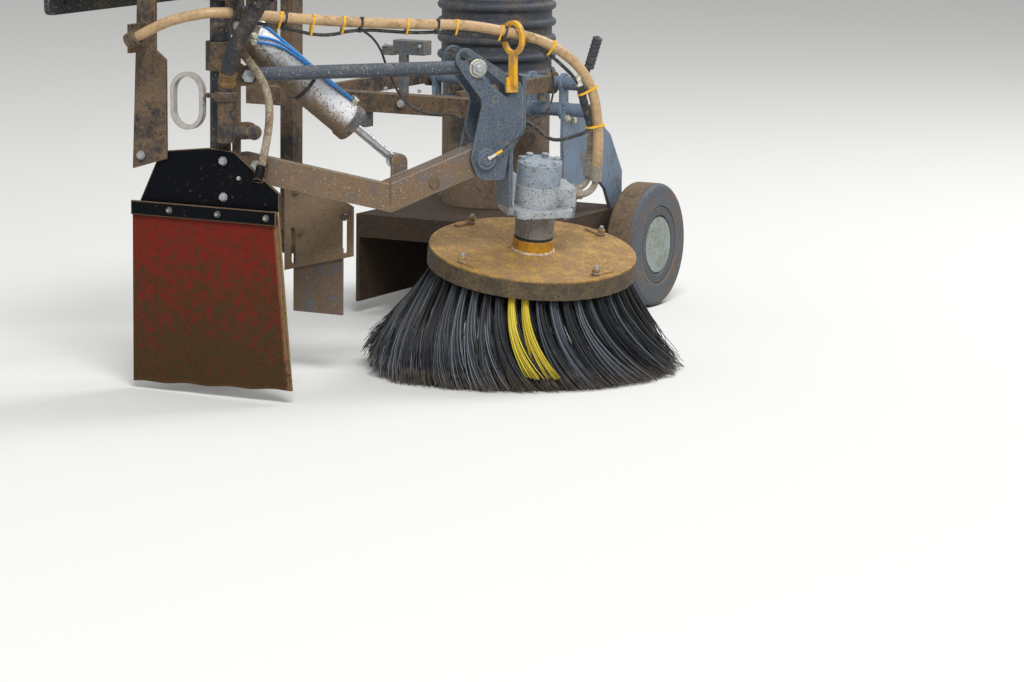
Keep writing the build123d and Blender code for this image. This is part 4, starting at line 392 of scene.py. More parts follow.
under_arm_route = on_link(
    [
        (250, 285.5, 60), (300, 281, 59), (352, 277, 57), (402, 278.5, 55.5), (455, 273, 53.5), (510, 266, 51),
        (569, 254, 50),
    ]
)
under_drop_route = on_link(
    [(569, 254, 50), (600, 247, 50), (637, 236, 48), (668, 215, 46), (694, 193, 44), (716, 173, 42), (731, 153, 41)]
)
wire_loop_route = on_link(
    [
        (226, 287, 50), (246, 276, 46), (268, 258, 30), (290, 234, 5), (303, 214, -14), (316, 186, -20),
        (329, 158, -20), (345, 131, -20), (367, 111, -20), (392, 99, -20), (420, 93, -20), (448, 95, -18),
        (470, 90, -12), (484, 66, -6), (488, 34, -4),
    ]
)
sensor_wire_route = on_link(
    [
        (640, 231, 48), (655, 206, 52), (662, 178, 55), (664, 148, 56), (658, 117, 56), (642, 90, 55),
        (618, 68, 54), (590, 52, 54), (562, 32, 55), (545, 20, 56),
    ]
)
rubber_loop_route = on_link(
    [
        (757, 60, 40), (744, 50, 41), (722, 46, 42), (696, 38, 40), (674, 36, 30), (658, 46, 14), (646, 64, 2),
        (612, 78, -4),
    ]
)
ROOT_BEND = ("frame", "arm", root_route[0], root_route[-1])
HEAD_BEND = ("arm", "head", arm_route[1], arm_route[-1])
hoses = {}
for name, node, route, diameter, material, body, slot in (
    ("hose_root_run_wrap", "hose_root_run", root_route, HOSE_DIAMETER, cream_wrap, ROOT_BEND, "hose_cream"),
    ("hose_arm_run_wrap", "hose_arm_run", arm_route, HOSE_DIAMETER, cream_wrap, HEAD_BEND, "hose_cream"),
    ("hose_drop_wrap", "hose_drop", drop_route, HOSE_DIAMETER, cream_wrap, "head", "hose_cream"),
    ("second_hose_wrap", "second_hose", second_route, SECOND_HOSE_DIAMETER, muddy_wrap, "head", "hose_grey"),
    ("hose_lead_wrap", "hose_lead", lead_route, HOSE_DIAMETER, cream_wrap, "frame", "hose_cream"),
    ("feed_hose_rubber", "feed_hose", feed_route, FEED_HOSE_DIAMETER, feed_rubber, "frame", "black_rubber"),
    ("spray_hose_wrap", "spray_hose", spray_route, SPRAY_HOSE_DIAMETER, muddy_wrap, "frame", "hose_cream"),
    ("under_root_cable", None, under_root_route, CABLE_DIAMETER, black_rubber, ROOT_BEND, "black_rubber"),
    ("under_arm_cable", None, under_arm_route, CABLE_DIAMETER, black_rubber, HEAD_BEND, "black_rubber"),
    ("under_drop_cable", None, under_drop_route, CABLE_DIAMETER, black_rubber, "head", "black_rubber"),
    ("wire_loop", None, wire_loop_route, WIRE_DIAMETER, black_rubber, "arm", "black_rubber"),
    ("sensor_wire", None, sensor_wire_route, SENSOR_WIRE_DIAMETER, black_rubber, "head", "black_rubber"),
    ("rubber_loop", None, rubber_loop_route, LOOP_DIAMETER, black_rubber, "head", "black_rubber"),
):
    hoses[name] = lay_hose(name, route, diameter, material, body, slot)
    if not isinstance(body, str):
        continue
    if node:
        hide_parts(node)
    length = hose_length(hoses[name])
wires = (HOSE_DIAMETER / 2, CABLE_REACH)
under_root, under_arm, under_drop = (centre_line(hoses[f"under_{run}_cable"])[0] for run in ("root", "arm", "drop"))
root_wrap, arm_wrap, drop_wrap = (hoses[f"hose_{run}_wrap"] for run in ("root_run", "arm_run", "drop"))
tie_round("yellow_ties_root", root_wrap, (0.253, 0.5, 0.729), under_root, wires, yellow_nylon, ROOT_BEND)
tie_round("yellow_ties_arm", arm_wrap, (0.206, 0.57, 0.903), under_arm, wires, yellow_nylon, HEAD_BEND)
tie_round("black_ties_root", root_wrap, (0.291, 0.863), under_root, wires, black_rubber, ROOT_BEND)
tie_round("black_ties_arm", arm_wrap, (0.427, 0.936), under_arm, wires, black_rubber, HEAD_BEND)
tie_round("yellow_tie_bend", drop_wrap, (0.235,), under_drop, wires, yellow_nylon, "head")
for name, diameter, bend in (
    ("hose_root_run_wrap", HOSE_DIAMETER, ROOT_BEND),
    ("hose_arm_run_wrap", HOSE_DIAMETER, HEAD_BEND),
    ("under_root_cable", CABLE_DIAMETER, ROOT_BEND),
    ("under_arm_cable", CABLE_DIAMETER, HEAD_BEND),
):
    length = hose_length(hoses[name])
    hoses[name], line = bent_tube(hoses[name], bend)
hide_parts("hose_root_run")
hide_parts("hose_arm_run")

# Cable joint beside the drop hose
# A white moulded plug and a wrinkled heat-shrink sleeve join the cable to the rubber loop, and two
# yellow ties hold the sleeve to the hose.


def turned_piece(name, rows, places, axes, material, body, slot=None, columns=24, ring=False, crease=0.6):
    """Turned, headed or pressed pieces, all alike, one at each place. Each of rows = (radius, height,
    corner) in millimetres is a circle round the axis, or a hexagon where corner is 1: there the
    radius is divided by the cosine of the angle from the middle of the flat."""
    radius, height, corner = np.array(rows, float).T[:, None, :, None]
    axes = np.array(axes, float).reshape(-1, 3)
    places = np.array(places, float).reshape(-1, 3)
    axes = np.broadcast_to(axes / np.linalg.norm(axes, axis=1, keepdims=True), places.shape)
    near_up = np.abs(axes[:, 2:]) > 0.9
    first = np.cross(np.where(near_up, (1.0, 0.0, 0.0), (0.0, 0.0, 1.0)), axes)
    first /= np.linalg.norm(first, axis=1, keepdims=True)
    second = np.cross(axes, first)
    a = np.linspace(0, 2 * np.pi, columns + 1)[:-1]
    flat = np.mod(a + np.pi / 6, np.pi / 3) - np.pi / 6
    reach = radius / 1000 * (1 + corner * (1 / np.cos(flat) - 1))
    points = (
        places[:, None, None]
        + (reach * np.cos(a))[..., None] * first[:, None, None]
        + (reach * np.sin(a))[..., None] * second[:, None, None]
        + (height / 1000 * np.ones(columns))[..., None] * axes[:, None, None]
    )
    total = len(rows)
    faces = []
    for start in range(0, len(places) * total * columns, total * columns):
        faces += grid_faces(total, columns, start=start, ring=ring)
        if not ring:
            foot, top = np.arange(columns)[::-1] + start, np.arange(columns) + start + (total - 1) * columns
            faces += [foot.tolist(), top.tolist()]
    return add_piece(name, points, faces, material, body, slot, crease=crease)


SLEEVE_TOP, SLEEVE_FOOT = on_link([(731, 153, 41), (757, 62, 40)])
sleeve_axis = (SLEEVE_FOOT - SLEEVE_TOP) / np.linalg.norm(SLEEVE_FOOT - SLEEVE_TOP)
sleeve_length = float(np.linalg.norm(SLEEVE_FOOT - SLEEVE_TOP)) * 1000
# The sleeve's radius is 8.2 mm and two sines of the height, less a dip at its foot.
wrinkle = np.linspace(0, sleeve_length, 37)
sleeve_radius = 8.2 + 0.5 * np.sin(wrinkle / 2.6) + 0.9 * np.sin(wrinkle / 17)
sleeve_radius -= 3.5 * np.exp(-(((wrinkle - sleeve_length) / 4) ** 2))
sleeve_rows = np.stack([sleeve_radius, wrinkle, 0 * wrinkle], -1)
turned_piece("heat_shrink_sleeve", sleeve_rows, SLEEVE_TOP, sleeve_axis, black_rubber, "head")
# Moulded plastic: off-white with a mild shine, grubby in patches.
plug_white = soiled(
    "white_moulded_plug", ("#c9c2b8", "#ddd8cf"), ("#7d6c59", "#93826c"),
    cover=0.30, roughness=0.4, patch=0.01, edge=0.0006, relief=0.4,
)
plug_rows = [(4.6, -23, 0), (6.2, -22, 0), (6.6, -12, 0), (5.4, -11, 0), (5.6, -3, 0), (7.4, -2, 0), (7.4, 1, 0)]
turned_piece("cable_plug", plug_rows, SLEEVE_TOP, sleeve_axis, plug_white, "head")
sleeve_line = SLEEVE_TOP + np.linspace(0, 1, 40)[:, None] * (SLEEVE_FOOT - SLEEVE_TOP)
SLEEVE_REACH = 0.0094
sleeve_pair = (HOSE_DIAMETER / 2, SLEEVE_REACH)
tie_round("yellow_ties_drop", drop_wrap, (0.575, 0.78), sleeve_line, sleeve_pair, yellow_nylon, "head")

# Floor, backdrop and light
# A pale plain studio floor under a pale sky of soft light, with one large soft lamp in front and
# above and a weaker one behind. The sky lights the part less than it shows.
GROUND = -0.880
FLOOR_RADIUS, RIM_POINTS = 60.0, 96
FLOOR_TONE, SKY_TONE = "#cfcfcd", "#d9dadb"
SKY_LIGHT, SKY_SHOWN = 0.56, 1.0

angles = np.linspace(0, 2 * np.pi, RIM_POINTS + 1)[:-1]
rim_height = np.full(RIM_POINTS, GROUND)
rim = np.column_stack([FLOOR_RADIUS * np.cos(angles), FLOOR_RADIUS * np.sin(angles), rim_height])
floor_mesh = bpy.data.meshes.new("floor")
floor_mesh.from_pydata(rim.tolist(), [], [list(range(RIM_POINTS))])
floor = bpy.data.objects.new("floor", floor_mesh)
bpy.context.scene.collection.objects.link(floor)
# Matt paper: it has no shine, so only the shadow marks it.
floor_paper = bpy.data.materials.new("pale_floor_paper")
floor_paper.use_nodes = True
tree = floor_paper.node_tree
tree.nodes.clear()
matt = add(tree, "BsdfDiffuse", None, {"Color": paint(FLOOR_TONE)})
add(tree, "OutputMaterial", None, {"Surface": matt})
floor_mesh.materials.append(floor_paper)

world = bpy.data.worlds.new("studio")
bpy.context.scene.world = world
world.use_nodes = True
tree = world.node_tree
tree.nodes.clear()
rays = add(tree, "LightPath", out="Is Camera Ray")
seen = add(tree, "Math", {"operation": "MAXIMUM"}, {0: rays, 1: rays.node.outputs["Is Glossy Ray"]})
seen = add(tree, "Math", {"operation": "MAXIMUM"}, {0: seen, 1: rays.node.outputs["Is Transmission Ray"]})
light = add(tree, "Background", None, {"Color": paint("#ffffff"), "Strength": SKY_LIGHT})
shown = add(tree, "Background", None, {"Color": paint(SKY_TONE), "Strength": SKY_SHOWN})
both = add(tree, "MixShader", None, {0: seen, 1: light, 2: shown})
add(tree, "OutputWorld", None, {"Surface": both})

for name, place, aim, size, power in (
    ("front_softbox", (5.6, -6.4, 9.0), (0.6, 0.2, -0.5), 4.5, 1350.0),
    ("rear_softbox", (2.6, 4.4, 4.2), (0.6, 0.3, -0.5), 2.5, 240.0),
):
    lamp = bpy.data.objects.new(name, bpy.data.lights.new(name, "AREA"))
    lamp.data.size = size
    lamp.data.energy = power
    lamp.location = place
    lamp.rotation_mode = "QUATERNION"
    lamp.rotation_quaternion = (Vector(aim) - Vector(place)).to_track_quat("-Z", "Y")
    bpy.context.scene.collection.objects.link(lamp)

# Frame: chassis plate, rail, outriggers, post and brackets
# Box and plate steel, welded and brush painted in dark grey, under the brown mud that the wheels
# throw up. The high pieces keep most of their paint; the low ones are caked.


def dress(material, *names):
    """Gives every material slot of these CAD nodes the finish."""
    for name in names:
        for held in nodes[name].material_slots:
            held.material = material


# Brushed frame paint: dark grey, rubbed pale on its edges, dusty and speckled.
dusty_paint = soiled(
    "grey_frame_paint_with_dust", ("#25292e", "#353a40"), ("#66584a", "#786753"),
    cover=0.26, roughness=0.5, worn="#83888b", wear=0.6, splash="#8a7a66", splash_size=0.006, splash_share=0.2,
    wet=(-0.30, -0.60, 0.3), patch=0.06, gloss=0.25,
)
# The same paint where the wheels throw their mud: mostly dull brown.
caked_paint = soiled(
    "frame_paint_caked_in_mud", ("#2f3034", "#26272b"), ("#6f5d49", "#5c4c3c"),
    cover=0.66, worn="#8f8070", wear=1.0, splash="#2f2a26", splash_size=0.006, splash_share=0.35, patch=0.06,
    gloss=0.25,
)
dress(dusty_paint, "chassis_plate", "side_rail", "outrigger_front", "outrigger_rear", "hose_gland", "kingpin_post")
dress(caked_paint, "knuckle", "stay_plate", "channel_post", "cross_beam")
# The same paint, with a pale band down the inner side of the feed barrel.
feed_paint = soiled(
    "frame_paint_with_pale_band", ("#2f3034", "#26272b"), ("#6f5d49", "#5c4c3c"),
    cover=0.60, worn="#9c9286", wear=1.0, patch=0.06, gloss=0.25,
    zones=[((0.400, 0.0, 0.0), (-1.0, 0.0, 0.0), 0.0, 0.2, ("#96948f", "#b0aca5"), -0.30, 0.002)],
)
dress(feed_paint, "feed_barrel")
# Turned brass: a dull yellow-brown metal under dirt.
brass_fitting = soiled(
    "dull_brass_ferrule", ("#7d6238", "#94764a"), ("#5f4c38", "#4d3d2d"),
    cover=0.45, roughness=0.4, metallic=0.5, patch=0.015, edge=0.001,
)
feed_end = centre_line(hoses["feed_hose_rubber"])[0][-2:]
FEED_FERRULE = [
    (16.4, -26, 0), (18.2, -25, 0), (18.4, -14, 0), (17.6, -13, 0), (17.6, -6, 0), (18.8, -5, 0), (18.8, 3, 0),
    (16.4, 4, 0),
]
feed_run = feed_end[1] - feed_end[0]
turned_piece("feed_ferrule", FEED_FERRULE, feed_end[1], feed_run, brass_fitting, "frame", columns=40, ring=True)

# Bolts: zinc-plated hexagon heads and nuts on their washers, pressed and rolled, dulled by salt
# and dust. They hold the stay plate, the flap's bracket and strip, and the beam's clamps.

# Plated steel: a pale, half metallic grey.
bolt_zinc = soiled(
    "zinc_plated_steel", ("#9aa0a3", "#b4b8b8"), ("#857460", "#6f5f4d"),
    cover=0.22, roughness=0.38, metallic=0.6, patch=0.02, edge=0.001,
)
FRONT = (0, -1, 0)
BOLT_HEAD = [(9.5, 0, 0), (9.5, 1.6, 0), (7.4, 1.6, 0), (7.4, 1.7, 1), (7.4, 6.2, 1), (6.6, 7.4, 1), (3.4, 7.6, 0)]
SMALL_HEAD = [(4.6, 0, 0), (4.6, 0.8, 0), (3.7, 0.9, 1), (3.7, 3.4, 1), (3.1, 4.1, 1), (1.5, 4.2, 0)]
NUT_AND_STUD = [
    (8.6, 0, 0), (8.6, 1.4, 0), (7.2, 1.5, 0), (7.2, 1.6, 1), (7.2, 5.6, 1), (6.3, 6.4, 1), (4.3, 6.4, 0),
    (4.1, 8.6, 0), (3.2, 9.3, 0),
]
STRIP_FACE, BRACKET_FACE, STAY_FACE = -0.340, -0.326, -0.334
strip_bolts = [(x, STRIP_FACE, -0.493) for x in (0.313, 0.432, 0.550)]
STRIP_NUT = [(7.4, 0, 0), (7.4, 1.2, 0), (6.1, 1.3, 1), (6.1, 4.6, 1), (5.2, 5.3, 1), (3.6, 5.3, 0)]
turned_piece("strip_nuts", STRIP_NUT, strip_bolts, FRONT, dusty_paint, "frame")
STRIP_STUD = [(3.3, 4, 0), (3.3, 7.6, 0), (2.6, 8.2, 0)]
turned_piece("strip_studs", STRIP_STUD, strip_bolts, FRONT, bolt_zinc, "frame")
bracket_bolts = [(0.437, BRACKET_FACE, -0.382), (0.438, BRACKET_FACE, -0.458), (0.239, STAY_FACE, -0.382)]
turned_piece("bracket_bolts", BOLT_HEAD, bracket_bolts, FRONT, bolt_zinc, "frame")
turned_piece("bracket_screw", SMALL_HEAD, (0.475, BRACKET_FACE, -0.416), FRONT, bolt_zinc, "frame")

# Cranked arm and its pins
# A welded box section with bushes at its ends. Its top shows pale along its edges through wet mud: partly worn
# paint, partly painted highlight of the wet edges.

# Grey paint under glossy wet mud, pale along the edges of the box: partly wear, partly painted highlight of the wet
# edges.
arm_mud_and_edge_highlight = soiled(
    "arm_paint_under_wet_mud_with_painted_edge_highlight", ("#4d5053", "#5f6264"), ("#7d6750", "#67543f"),
    cover=0.66, roughness=0.42, worn="#b3a898", wear=1.4, splash="#9a8970", splash_share=0.24,
    wet=(-0.33, -0.47, 0.1), edge=0.0035, gloss=0.45,
    zones=[(ARM_PIVOT, tuple(ALONG), 0.345, 0.9, ("#54565a", "#6a6b6c"), -0.07, 0.03)],
)
# Welded steel: a rippled bead in brown and grey.
weld_bead = soiled(
    "fillet_weld_bead", ("#5b5148", "#6f6356"), ("#806b54", "#6a5845"),
    cover=0.5, roughness=0.6, patch=0.012, edge=0.0006, relief=1.5,
)
dress(arm_mud_and_edge_highlight, "arm")
dress(bolt_zinc, "arm_root_pin", "tie_root_pin", "cylinder_top_pin", "slot_bolt")
# The weld up the arm's kink is a bead whose radius ripples with its height.
bead_height = np.linspace(0, 56, 29)
bead_radius = 1.5 + 0.35 * np.sin(bead_height * 1.9) - 1.0 * (np.abs(bead_height - 28) > 27.5)
bead_rows = np.stack([bead_radius, bead_height, 0 * bead_height], -1)
turned_piece("kink_weld", bead_rows, on_link([(303, -90, 27.6)])[0], (0, 0, 1), weld_bead, "arm", columns=12)
PLUG = [(12.5, -0.5, 0), (12.5, 1.6, 0), (11.2, 2.6, 0), (9.6, 2.2, 0), (9.0, 1.4, 0), (3.0, 1.7, 0)]
turned_piece("arm_plug", PLUG, on_link([(402, -47, 27.5)])[0], ASIDE, weld_bead, "arm", columns=32)

# Tie rod, fork plates and carrier
# Round bar and flame-cut plate in dark blue-grey paint, speckled with dried splashes and rubbed
# pale along the edges.

# Sprayed plate paint: a clean blue-grey, finely speckled, with rubbed pale edges.
plate_paint = soiled(
    "blue_grey_plate_paint", ("#424c58", "#566370"), ("#6f675c", "#837a6c"),
    cover=0.06, roughness=0.42, worn="#8c959e", wear=1.1, splash="#39414b", splash_size=0.0045,
    splash_share=0.5, wet=(-0.40, -0.62, 0.12),
)
# The same kind of paint on round bar: darker, with small pale drops.
tie_paint = soiled(
    "dark_blue_grey_bar_paint", ("#3b4149", "#4e555e"), ("#6f675c", "#857b6c"),
    cover=0.08, roughness=0.4, worn="#868e97", wear=0.9, splash="#818790", splash_share=0.35,
)
dress(tie_paint, "tie_rod")
dress(plate_paint, "fork_plate_near", "fork_plate_far", "carrier", "fork_pin")
PIVOT_BOSS = [
    (24.0, 0, 0), (24.0, 2.4, 0), (22.6, 3.4, 0), (22.2, 9.2, 0), (20.6, 10.4, 0), (18.4, 10.4, 0),
    (17.4, 9.3, 0), (14.8, 9.3, 0), (14.2, 12.2, 0), (12.6, 13.4, 0), (6.5, 13.4, 0), (5.4, 12.6, 0),
]
turned_piece("pivot_boss", PIVOT_BOSS, on_link([(514, 2, 40)])[0], ASIDE, plate_paint, "head", columns=40)
# Passivated zinc: a creamy grey with a metallic sheen.
zinc_cream = soiled(
    "yellow_passivated_zinc", ("#b5b2a0", "#ccc9b8"), ("#857663", "#6f6251"),
    cover=0.14, roughness=0.36, metallic=0.5, patch=0.02, edge=0.001,
)
SLOT_WASHER = [(10.0, 0, 0), (20.2, 0, 0), (20.2, 2.8, 0), (18.8, 3.8, 0), (10.0, 3.8, 0)]
SLOT_NUT = [(15.4, 3, 1), (15.4, 10.4, 1), (13.6, 12.4, 1), (8.2, 12.6, 0), (8.0, 15.2, 0), (6.6, 16.2, 0)]
slot_places, slot_axes = on_link([(495, 197, 40), (495, 197, -40)]), (ASIDE, -ASIDE)
turned_piece("slot_washers", SLOT_WASHER, slot_places, slot_axes, zinc_cream, "head", columns=40, ring=True)
turned_piece("slot_nuts", SLOT_NUT, slot_places, slot_axes, bolt_zinc, "head", columns=48)
wire_end = on_link([(545, 20, 56), (516, 3, 53)])
wire_run = wire_end[1] - wire_end[0]
CRIMP = [(2.6, -2, 0), (3.3, -1, 0), (3.3, 12, 0), (2.6, 13, 0)]
SENSOR_TIP = [(2.2, 12, 0), (3.2, 14, 0), (3.4, 27, 0), (4.6, 29, 0), (4.6, 33, 0), (3.0, 34, 0)]
turned_piece("sensor_crimp", CRIMP, wire_end[0], wire_run, yellow_nylon, "head", columns=16)
turned_piece("sensor_tip", SENSOR_TIP, wire_end[0], wire_run, plug_white, "head", columns=16)

# Lift cylinder
# White lacquered barrel with brown spatter and a muddy belly, a dark end cap and a hard-chromed
# rod.
CYLINDER_TOP = on_link([(-20, 293, -55.5)])[0]
CYLINDER_RUN = 0.772726 * ALONG - 0.634739 * UP
CYLINDER_UP = 0.634739 * ALONG + 0.772726 * UP
BARREL_RADIUS = 0.038
DARK_CAP = ("#3c3d41", "#515257")
# Sprayed lacquer: smooth and white, with its brown spatter, belly and dark ends.
white_lacquer = soiled(
    "white_cylinder_lacquer", ("#d6d8db", "#c4c5c7"), ("#6a5947", "#84725f"),
    cover=0.16, roughness=0.3, splash="#594636", splash_size=0.0045, splash_share=0.55, patch=0.05, edge=0.001,
    zones=[
        (CYLINDER_TOP, tuple(-CYLINDER_UP), 0.014, 0.090, ("#6c5b49", "#7f6f5c"), 0.30, 0.018),
        (CYLINDER_TOP, tuple(CYLINDER_RUN), 0.323, 0.360, DARK_CAP, 0.0),
        (CYLINDER_TOP, tuple(CYLINDER_RUN), -0.030, 0.044, DARK_CAP, 0.05),
    ],
)
# Ground chrome plate: close to a mirror under a thin, dirty film.
hard_chrome = soiled(
    "hard_chrome_rod", ("#b9babd", "#a2a4a8"), ("#7d6c58", "#93826c"),
    cover=0.16, roughness=0.24, metallic=0.9, patch=0.04, edge=0.001, relief=0.5,
)
BARREL = [
    (34.0, 34, 0), (37.0, 34, 0), (38.0, 35, 0), (38.0, 323, 0), (40.4, 323.4, 0), (41.0, 324.4, 0),
    (41.0, 343, 0), (39.6, 344.6, 0), (15.0, 344.8, 0), (14.4, 348, 0), (10.4, 348.4, 0),
]
BARREL_EYE = [(9.2, -15, 0), (17.4, -15, 0), (18.0, -14.2, 0), (18.0, 14.2, 0), (17.4, 15, 0), (9.2, 15, 0)]
NECK = [(13, 12, 0), (13, 34.5, 0)]
for name, rows, axis, slot, columns, ring in (
    ("cylinder_shell", BARREL, CYLINDER_RUN, "white_paint", 72, False),
    ("cylinder_neck", NECK, CYLINDER_RUN, None, 24, False),
    ("cylinder_eye", BARREL_EYE, ASIDE, None, 40, True),
):
    made = turned_piece(name, rows, CYLINDER_TOP, axis, white_lacquer, "lift_barrel", slot, columns, ring)
    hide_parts("cylinder_barrel")
dress(hard_chrome, "cylinder_rod")
STRAP = [(38.0, 0, 0), (39.6, 0, 0), (39.6, 7, 0), (38.0, 7, 0)]
STRAP_REACH = 0.200
strap_place = CYLINDER_TOP + STRAP_REACH * CYLINDER_RUN
turned_piece("barrel_strap", STRAP, strap_place, CYLINDER_RUN, black_rubber, "lift_barrel", columns=48, ring=True)

# Air lines on the lift cylinder
# Blue nylon tube, laid along the top of the barrel under its strap, from one banjo fitting to the
# other; each fitting is a turned and plated boss with its hollow screw.


def on_barrel(rows, lift):
    """Places in the row frame of points (distance along the barrel, angle round it from the kerb side
    upwards) in metres and degrees, at lift above its skin."""
    run, turned = np.array(rows, float).T[:, :, None]
    turned = np.radians(turned)
    outwards = np.cos(turned) * ASIDE + np.sin(turned) * CYLINDER_UP
    return CYLINDER_TOP + run * CYLINDER_RUN + (BARREL_RADIUS + lift) * outwards


# Extruded nylon: a strong blue with a sharp highlight.
blue_nylon = soiled(
    "blue_nylon_air_line", ("#1b6fb5", "#2a83cc"), ("#5f564c", "#7b6c5b"),
    cover=0.12, roughness=0.3, patch=0.02, edge=0.0004, relief=0.2,
)
AIR_LINE_DIAMETER, AIR_LINE_LIFT = 0.006, 0.0042
AIR_LINES = {
    "air_line_low": [
        (0.038, 6), (0.060, 25), (0.090, 48), (0.130, 58), (0.165, 62),
        (0.205, 58), (0.245, 60), (0.285, 68), (0.313, 74),
    ],
    "air_line_high": [
        (0.044, -8), (0.070, 14), (0.100, 36), (0.135, 46), (0.168, 48),
        (0.205, 50), (0.245, 52), (0.285, 60), (0.311, 66),
    ],
    "air_line_cross": [
        (0.040, 62), (0.070, 84), (0.100, 90), (0.132, 80), (0.165, 72),
        (0.205, 68), (0.245, 72), (0.285, 80), (0.310, 86),
    ],
}
for name, rows in AIR_LINES.items():
    route = on_barrel(rows, AIR_LINE_LIFT)
    hoses[name] = lay_hose(name, route, AIR_LINE_DIAMETER, blue_nylon, "lift_barrel", "black_rubber")
    length = hose_length(hoses[name])
BANJO = [(7.5, -1, 0), (7.5, 6, 0), (6.2, 7, 0), (6.2, 7.1, 1), (6.2, 11, 1), (5.4, 12, 1), (3, 12.2, 0)]
banjo_spots = [rows[end] for end in (-1, 0) for rows in AIR_LINES.values()]
banjo_feet = on_barrel(banjo_spots, 0.0)
banjo_tops = on_barrel(banjo_spots, 0.01)
turned_piece("air_fittings", BANJO, banjo_feet, banjo_tops - banjo_feet, zinc_cream, "lift_barrel", columns=18)

# Broom motor and its bracket
# A cast hydraulic motor in light grey, pitted and spattered, with its hose elbows and crimped
# ferrules.
AXIS = tuple(BROOM_AXIS)
# Painted sand casting: light grey with spatter and a few darker bands round it.
cast_grey = soiled(
    "light_grey_cast_iron_paint", ("#8a9095", "#b0b4b8"), ("#7c7367", "#6a6156"),
    cover=0.16, roughness=0.42, worn="#c3c7ca", wear=0.7, splash="#46484a", splash_share=0.5,
    zones=[
        (BROOM_CENTRE, AXIS, 0.152, 0.205, ("#7b8792", "#98a2ab"), -0.05),
        (BROOM_CENTRE, AXIS, 0.034, 0.088, ("#706e6b", "#8e8c89"), 0.0),
        (BROOM_CENTRE, AXIS, 0.020, 0.034, ("#1f1d1b", "#2b2826"), -0.1),
    ],
)
# Crimped steel: grey-brown, hardly metallic under its dirt.
ferrule_grey = soiled(
    "crimped_ferrule_steel", ("#9b958b", "#878179"), ("#76695a", "#8a7c68"),
    cover=0.30, roughness=0.45, metallic=0.2, patch=0.02,
)
dress(cast_grey, "motor_body", "motor_cap", "motor_bracket")
dress(ferrule_grey, "port_elbow_near", "port_elbow_far")

# Brush disc, hub and block
# A steel disc in chrome yellow on a thick plastic block, both under ochre mud that the spin wipes
# thin; the hub collar keeps its paint.

# Chrome yellow paint that shows in flecks through ochre mud.
disc_yellow = soiled(
    "chrome_yellow_disc_paint_under_mud", ("#b38b3e", "#a28048"), ("#927551", "#735c3e"),
    cover=0.66, roughness=0.42, worn="#bd9556", wear=0.8, splash="#b98c3c", splash_size=0.0033,
    splash_share=0.42, patch=0.04,
)
# Moulded polymer: dark brown, caked and without shine.
block_mud = soiled(
    "brush_block_polymer_under_mud", ("#40382f", "#4c4238"), ("#685a46", "#544838"),
    cover=0.60, splash="#39322a", splash_size=0.007, splash_share=0.3, patch=0.05, gloss=0.2,
)
# The same yellow paint where it stays cleaner: a strong ochre yellow.
collar_yellow = soiled(
    "chrome_yellow_collar_paint", ("#b8821f", "#c4912b"), ("#8f6d3d", "#7d6038"),
    cover=0.30, roughness=0.4, worn="#c9a45c", wear=0.8, patch=0.02, edge=0.001,
)
dress(disc_yellow, "disc_hub")
COLLAR = [(43.2, 0.4, 0), (44.2, 0.6, 0), (44.2, 26.2, 0), (43.2, 27.2, 0)]
turned_piece("collar_sleeve", COLLAR, BROOM_CENTRE, BROOM_AXIS, collar_yellow, "broom", columns=64, ring=True)
dress(block_mud, "brush_block")
COLLAR_WELD = [(43.8, 0, 0), (48.6, 0, 0), (47.6, 1.9, 0), (45.6, 3.4, 0), (43.8, 4.0, 0)]
# Welded steel: a pale, coarsely rippled bead.
collar_bead = soiled(
    "pale_collar_weld", ("#bfac93", "#d2c1aa"), ("#8d7350", "#a2845a"),
    cover=0.30, roughness=0.5, patch=0.012, edge=0.0008, relief=2.0,
)
turned_piece("collar_weld", COLLAR_WELD, BROOM_CENTRE, BROOM_AXIS, collar_bead, "broom", columns=64, ring=True)
CLIP_RADIUS = 203
clip_turn = np.radians(20 + 90 * np.arange(4))
clip_spots = np.stack([CLIP_RADIUS * np.cos(clip_turn), CLIP_RADIUS * np.sin(clip_turn), 0 * clip_turn], -1)
CLIP_STUD = [(10.2, 3.8, 0), (10.2, 5.8, 0), (4.4, 5.9, 0), (4.4, 14, 0), (4.2, 21, 0), (3.2, 22, 0)]
turned_piece("clip_studs", CLIP_STUD, on_broom(clip_spots), BROOM_AXIS, bolt_zinc, "broom", columns=18)

# Brush bristles
# Polypropylene filaments in tufts of a few dozen, stapled into the block in four rings. The spin
# drags their tips back and the road spreads them; two wear-marker tufts are yellow.
ROOT_RADII = (0.206, 0.192, 0.177, 0.160)
TUFTS_PER_RING = (46, 42, 38, 34)
FILAMENTS_PER_TUFT = 40
TIP_RADIUS = 0.347
ROOT_DEPTH, FILAMENT_LENGTH, FILAMENT_WIDTH = -0.036, 0.266, 0.0024
FIRST_TUFT, TUFT_RADIUS, TUFT_HALF_WIDTH, TIP_SPREAD = 0.035, 0.006, 0.0065, 0.024
TRAIL_ANGLE = math.radians(27)
OUTWARD_POWER, TRAIL_POWER = 1.25, 1.9
RING_FAN, TIP_TWIST, TUFT_STRAY = 0.75, 0.10, 0.07
ROAD_GAP, TIP_UNEVENNESS, YELLOW_SHARE = 0.003, 0.004, 0.88
STEPS = 10
YELLOW_TUFTS = (30, 31)

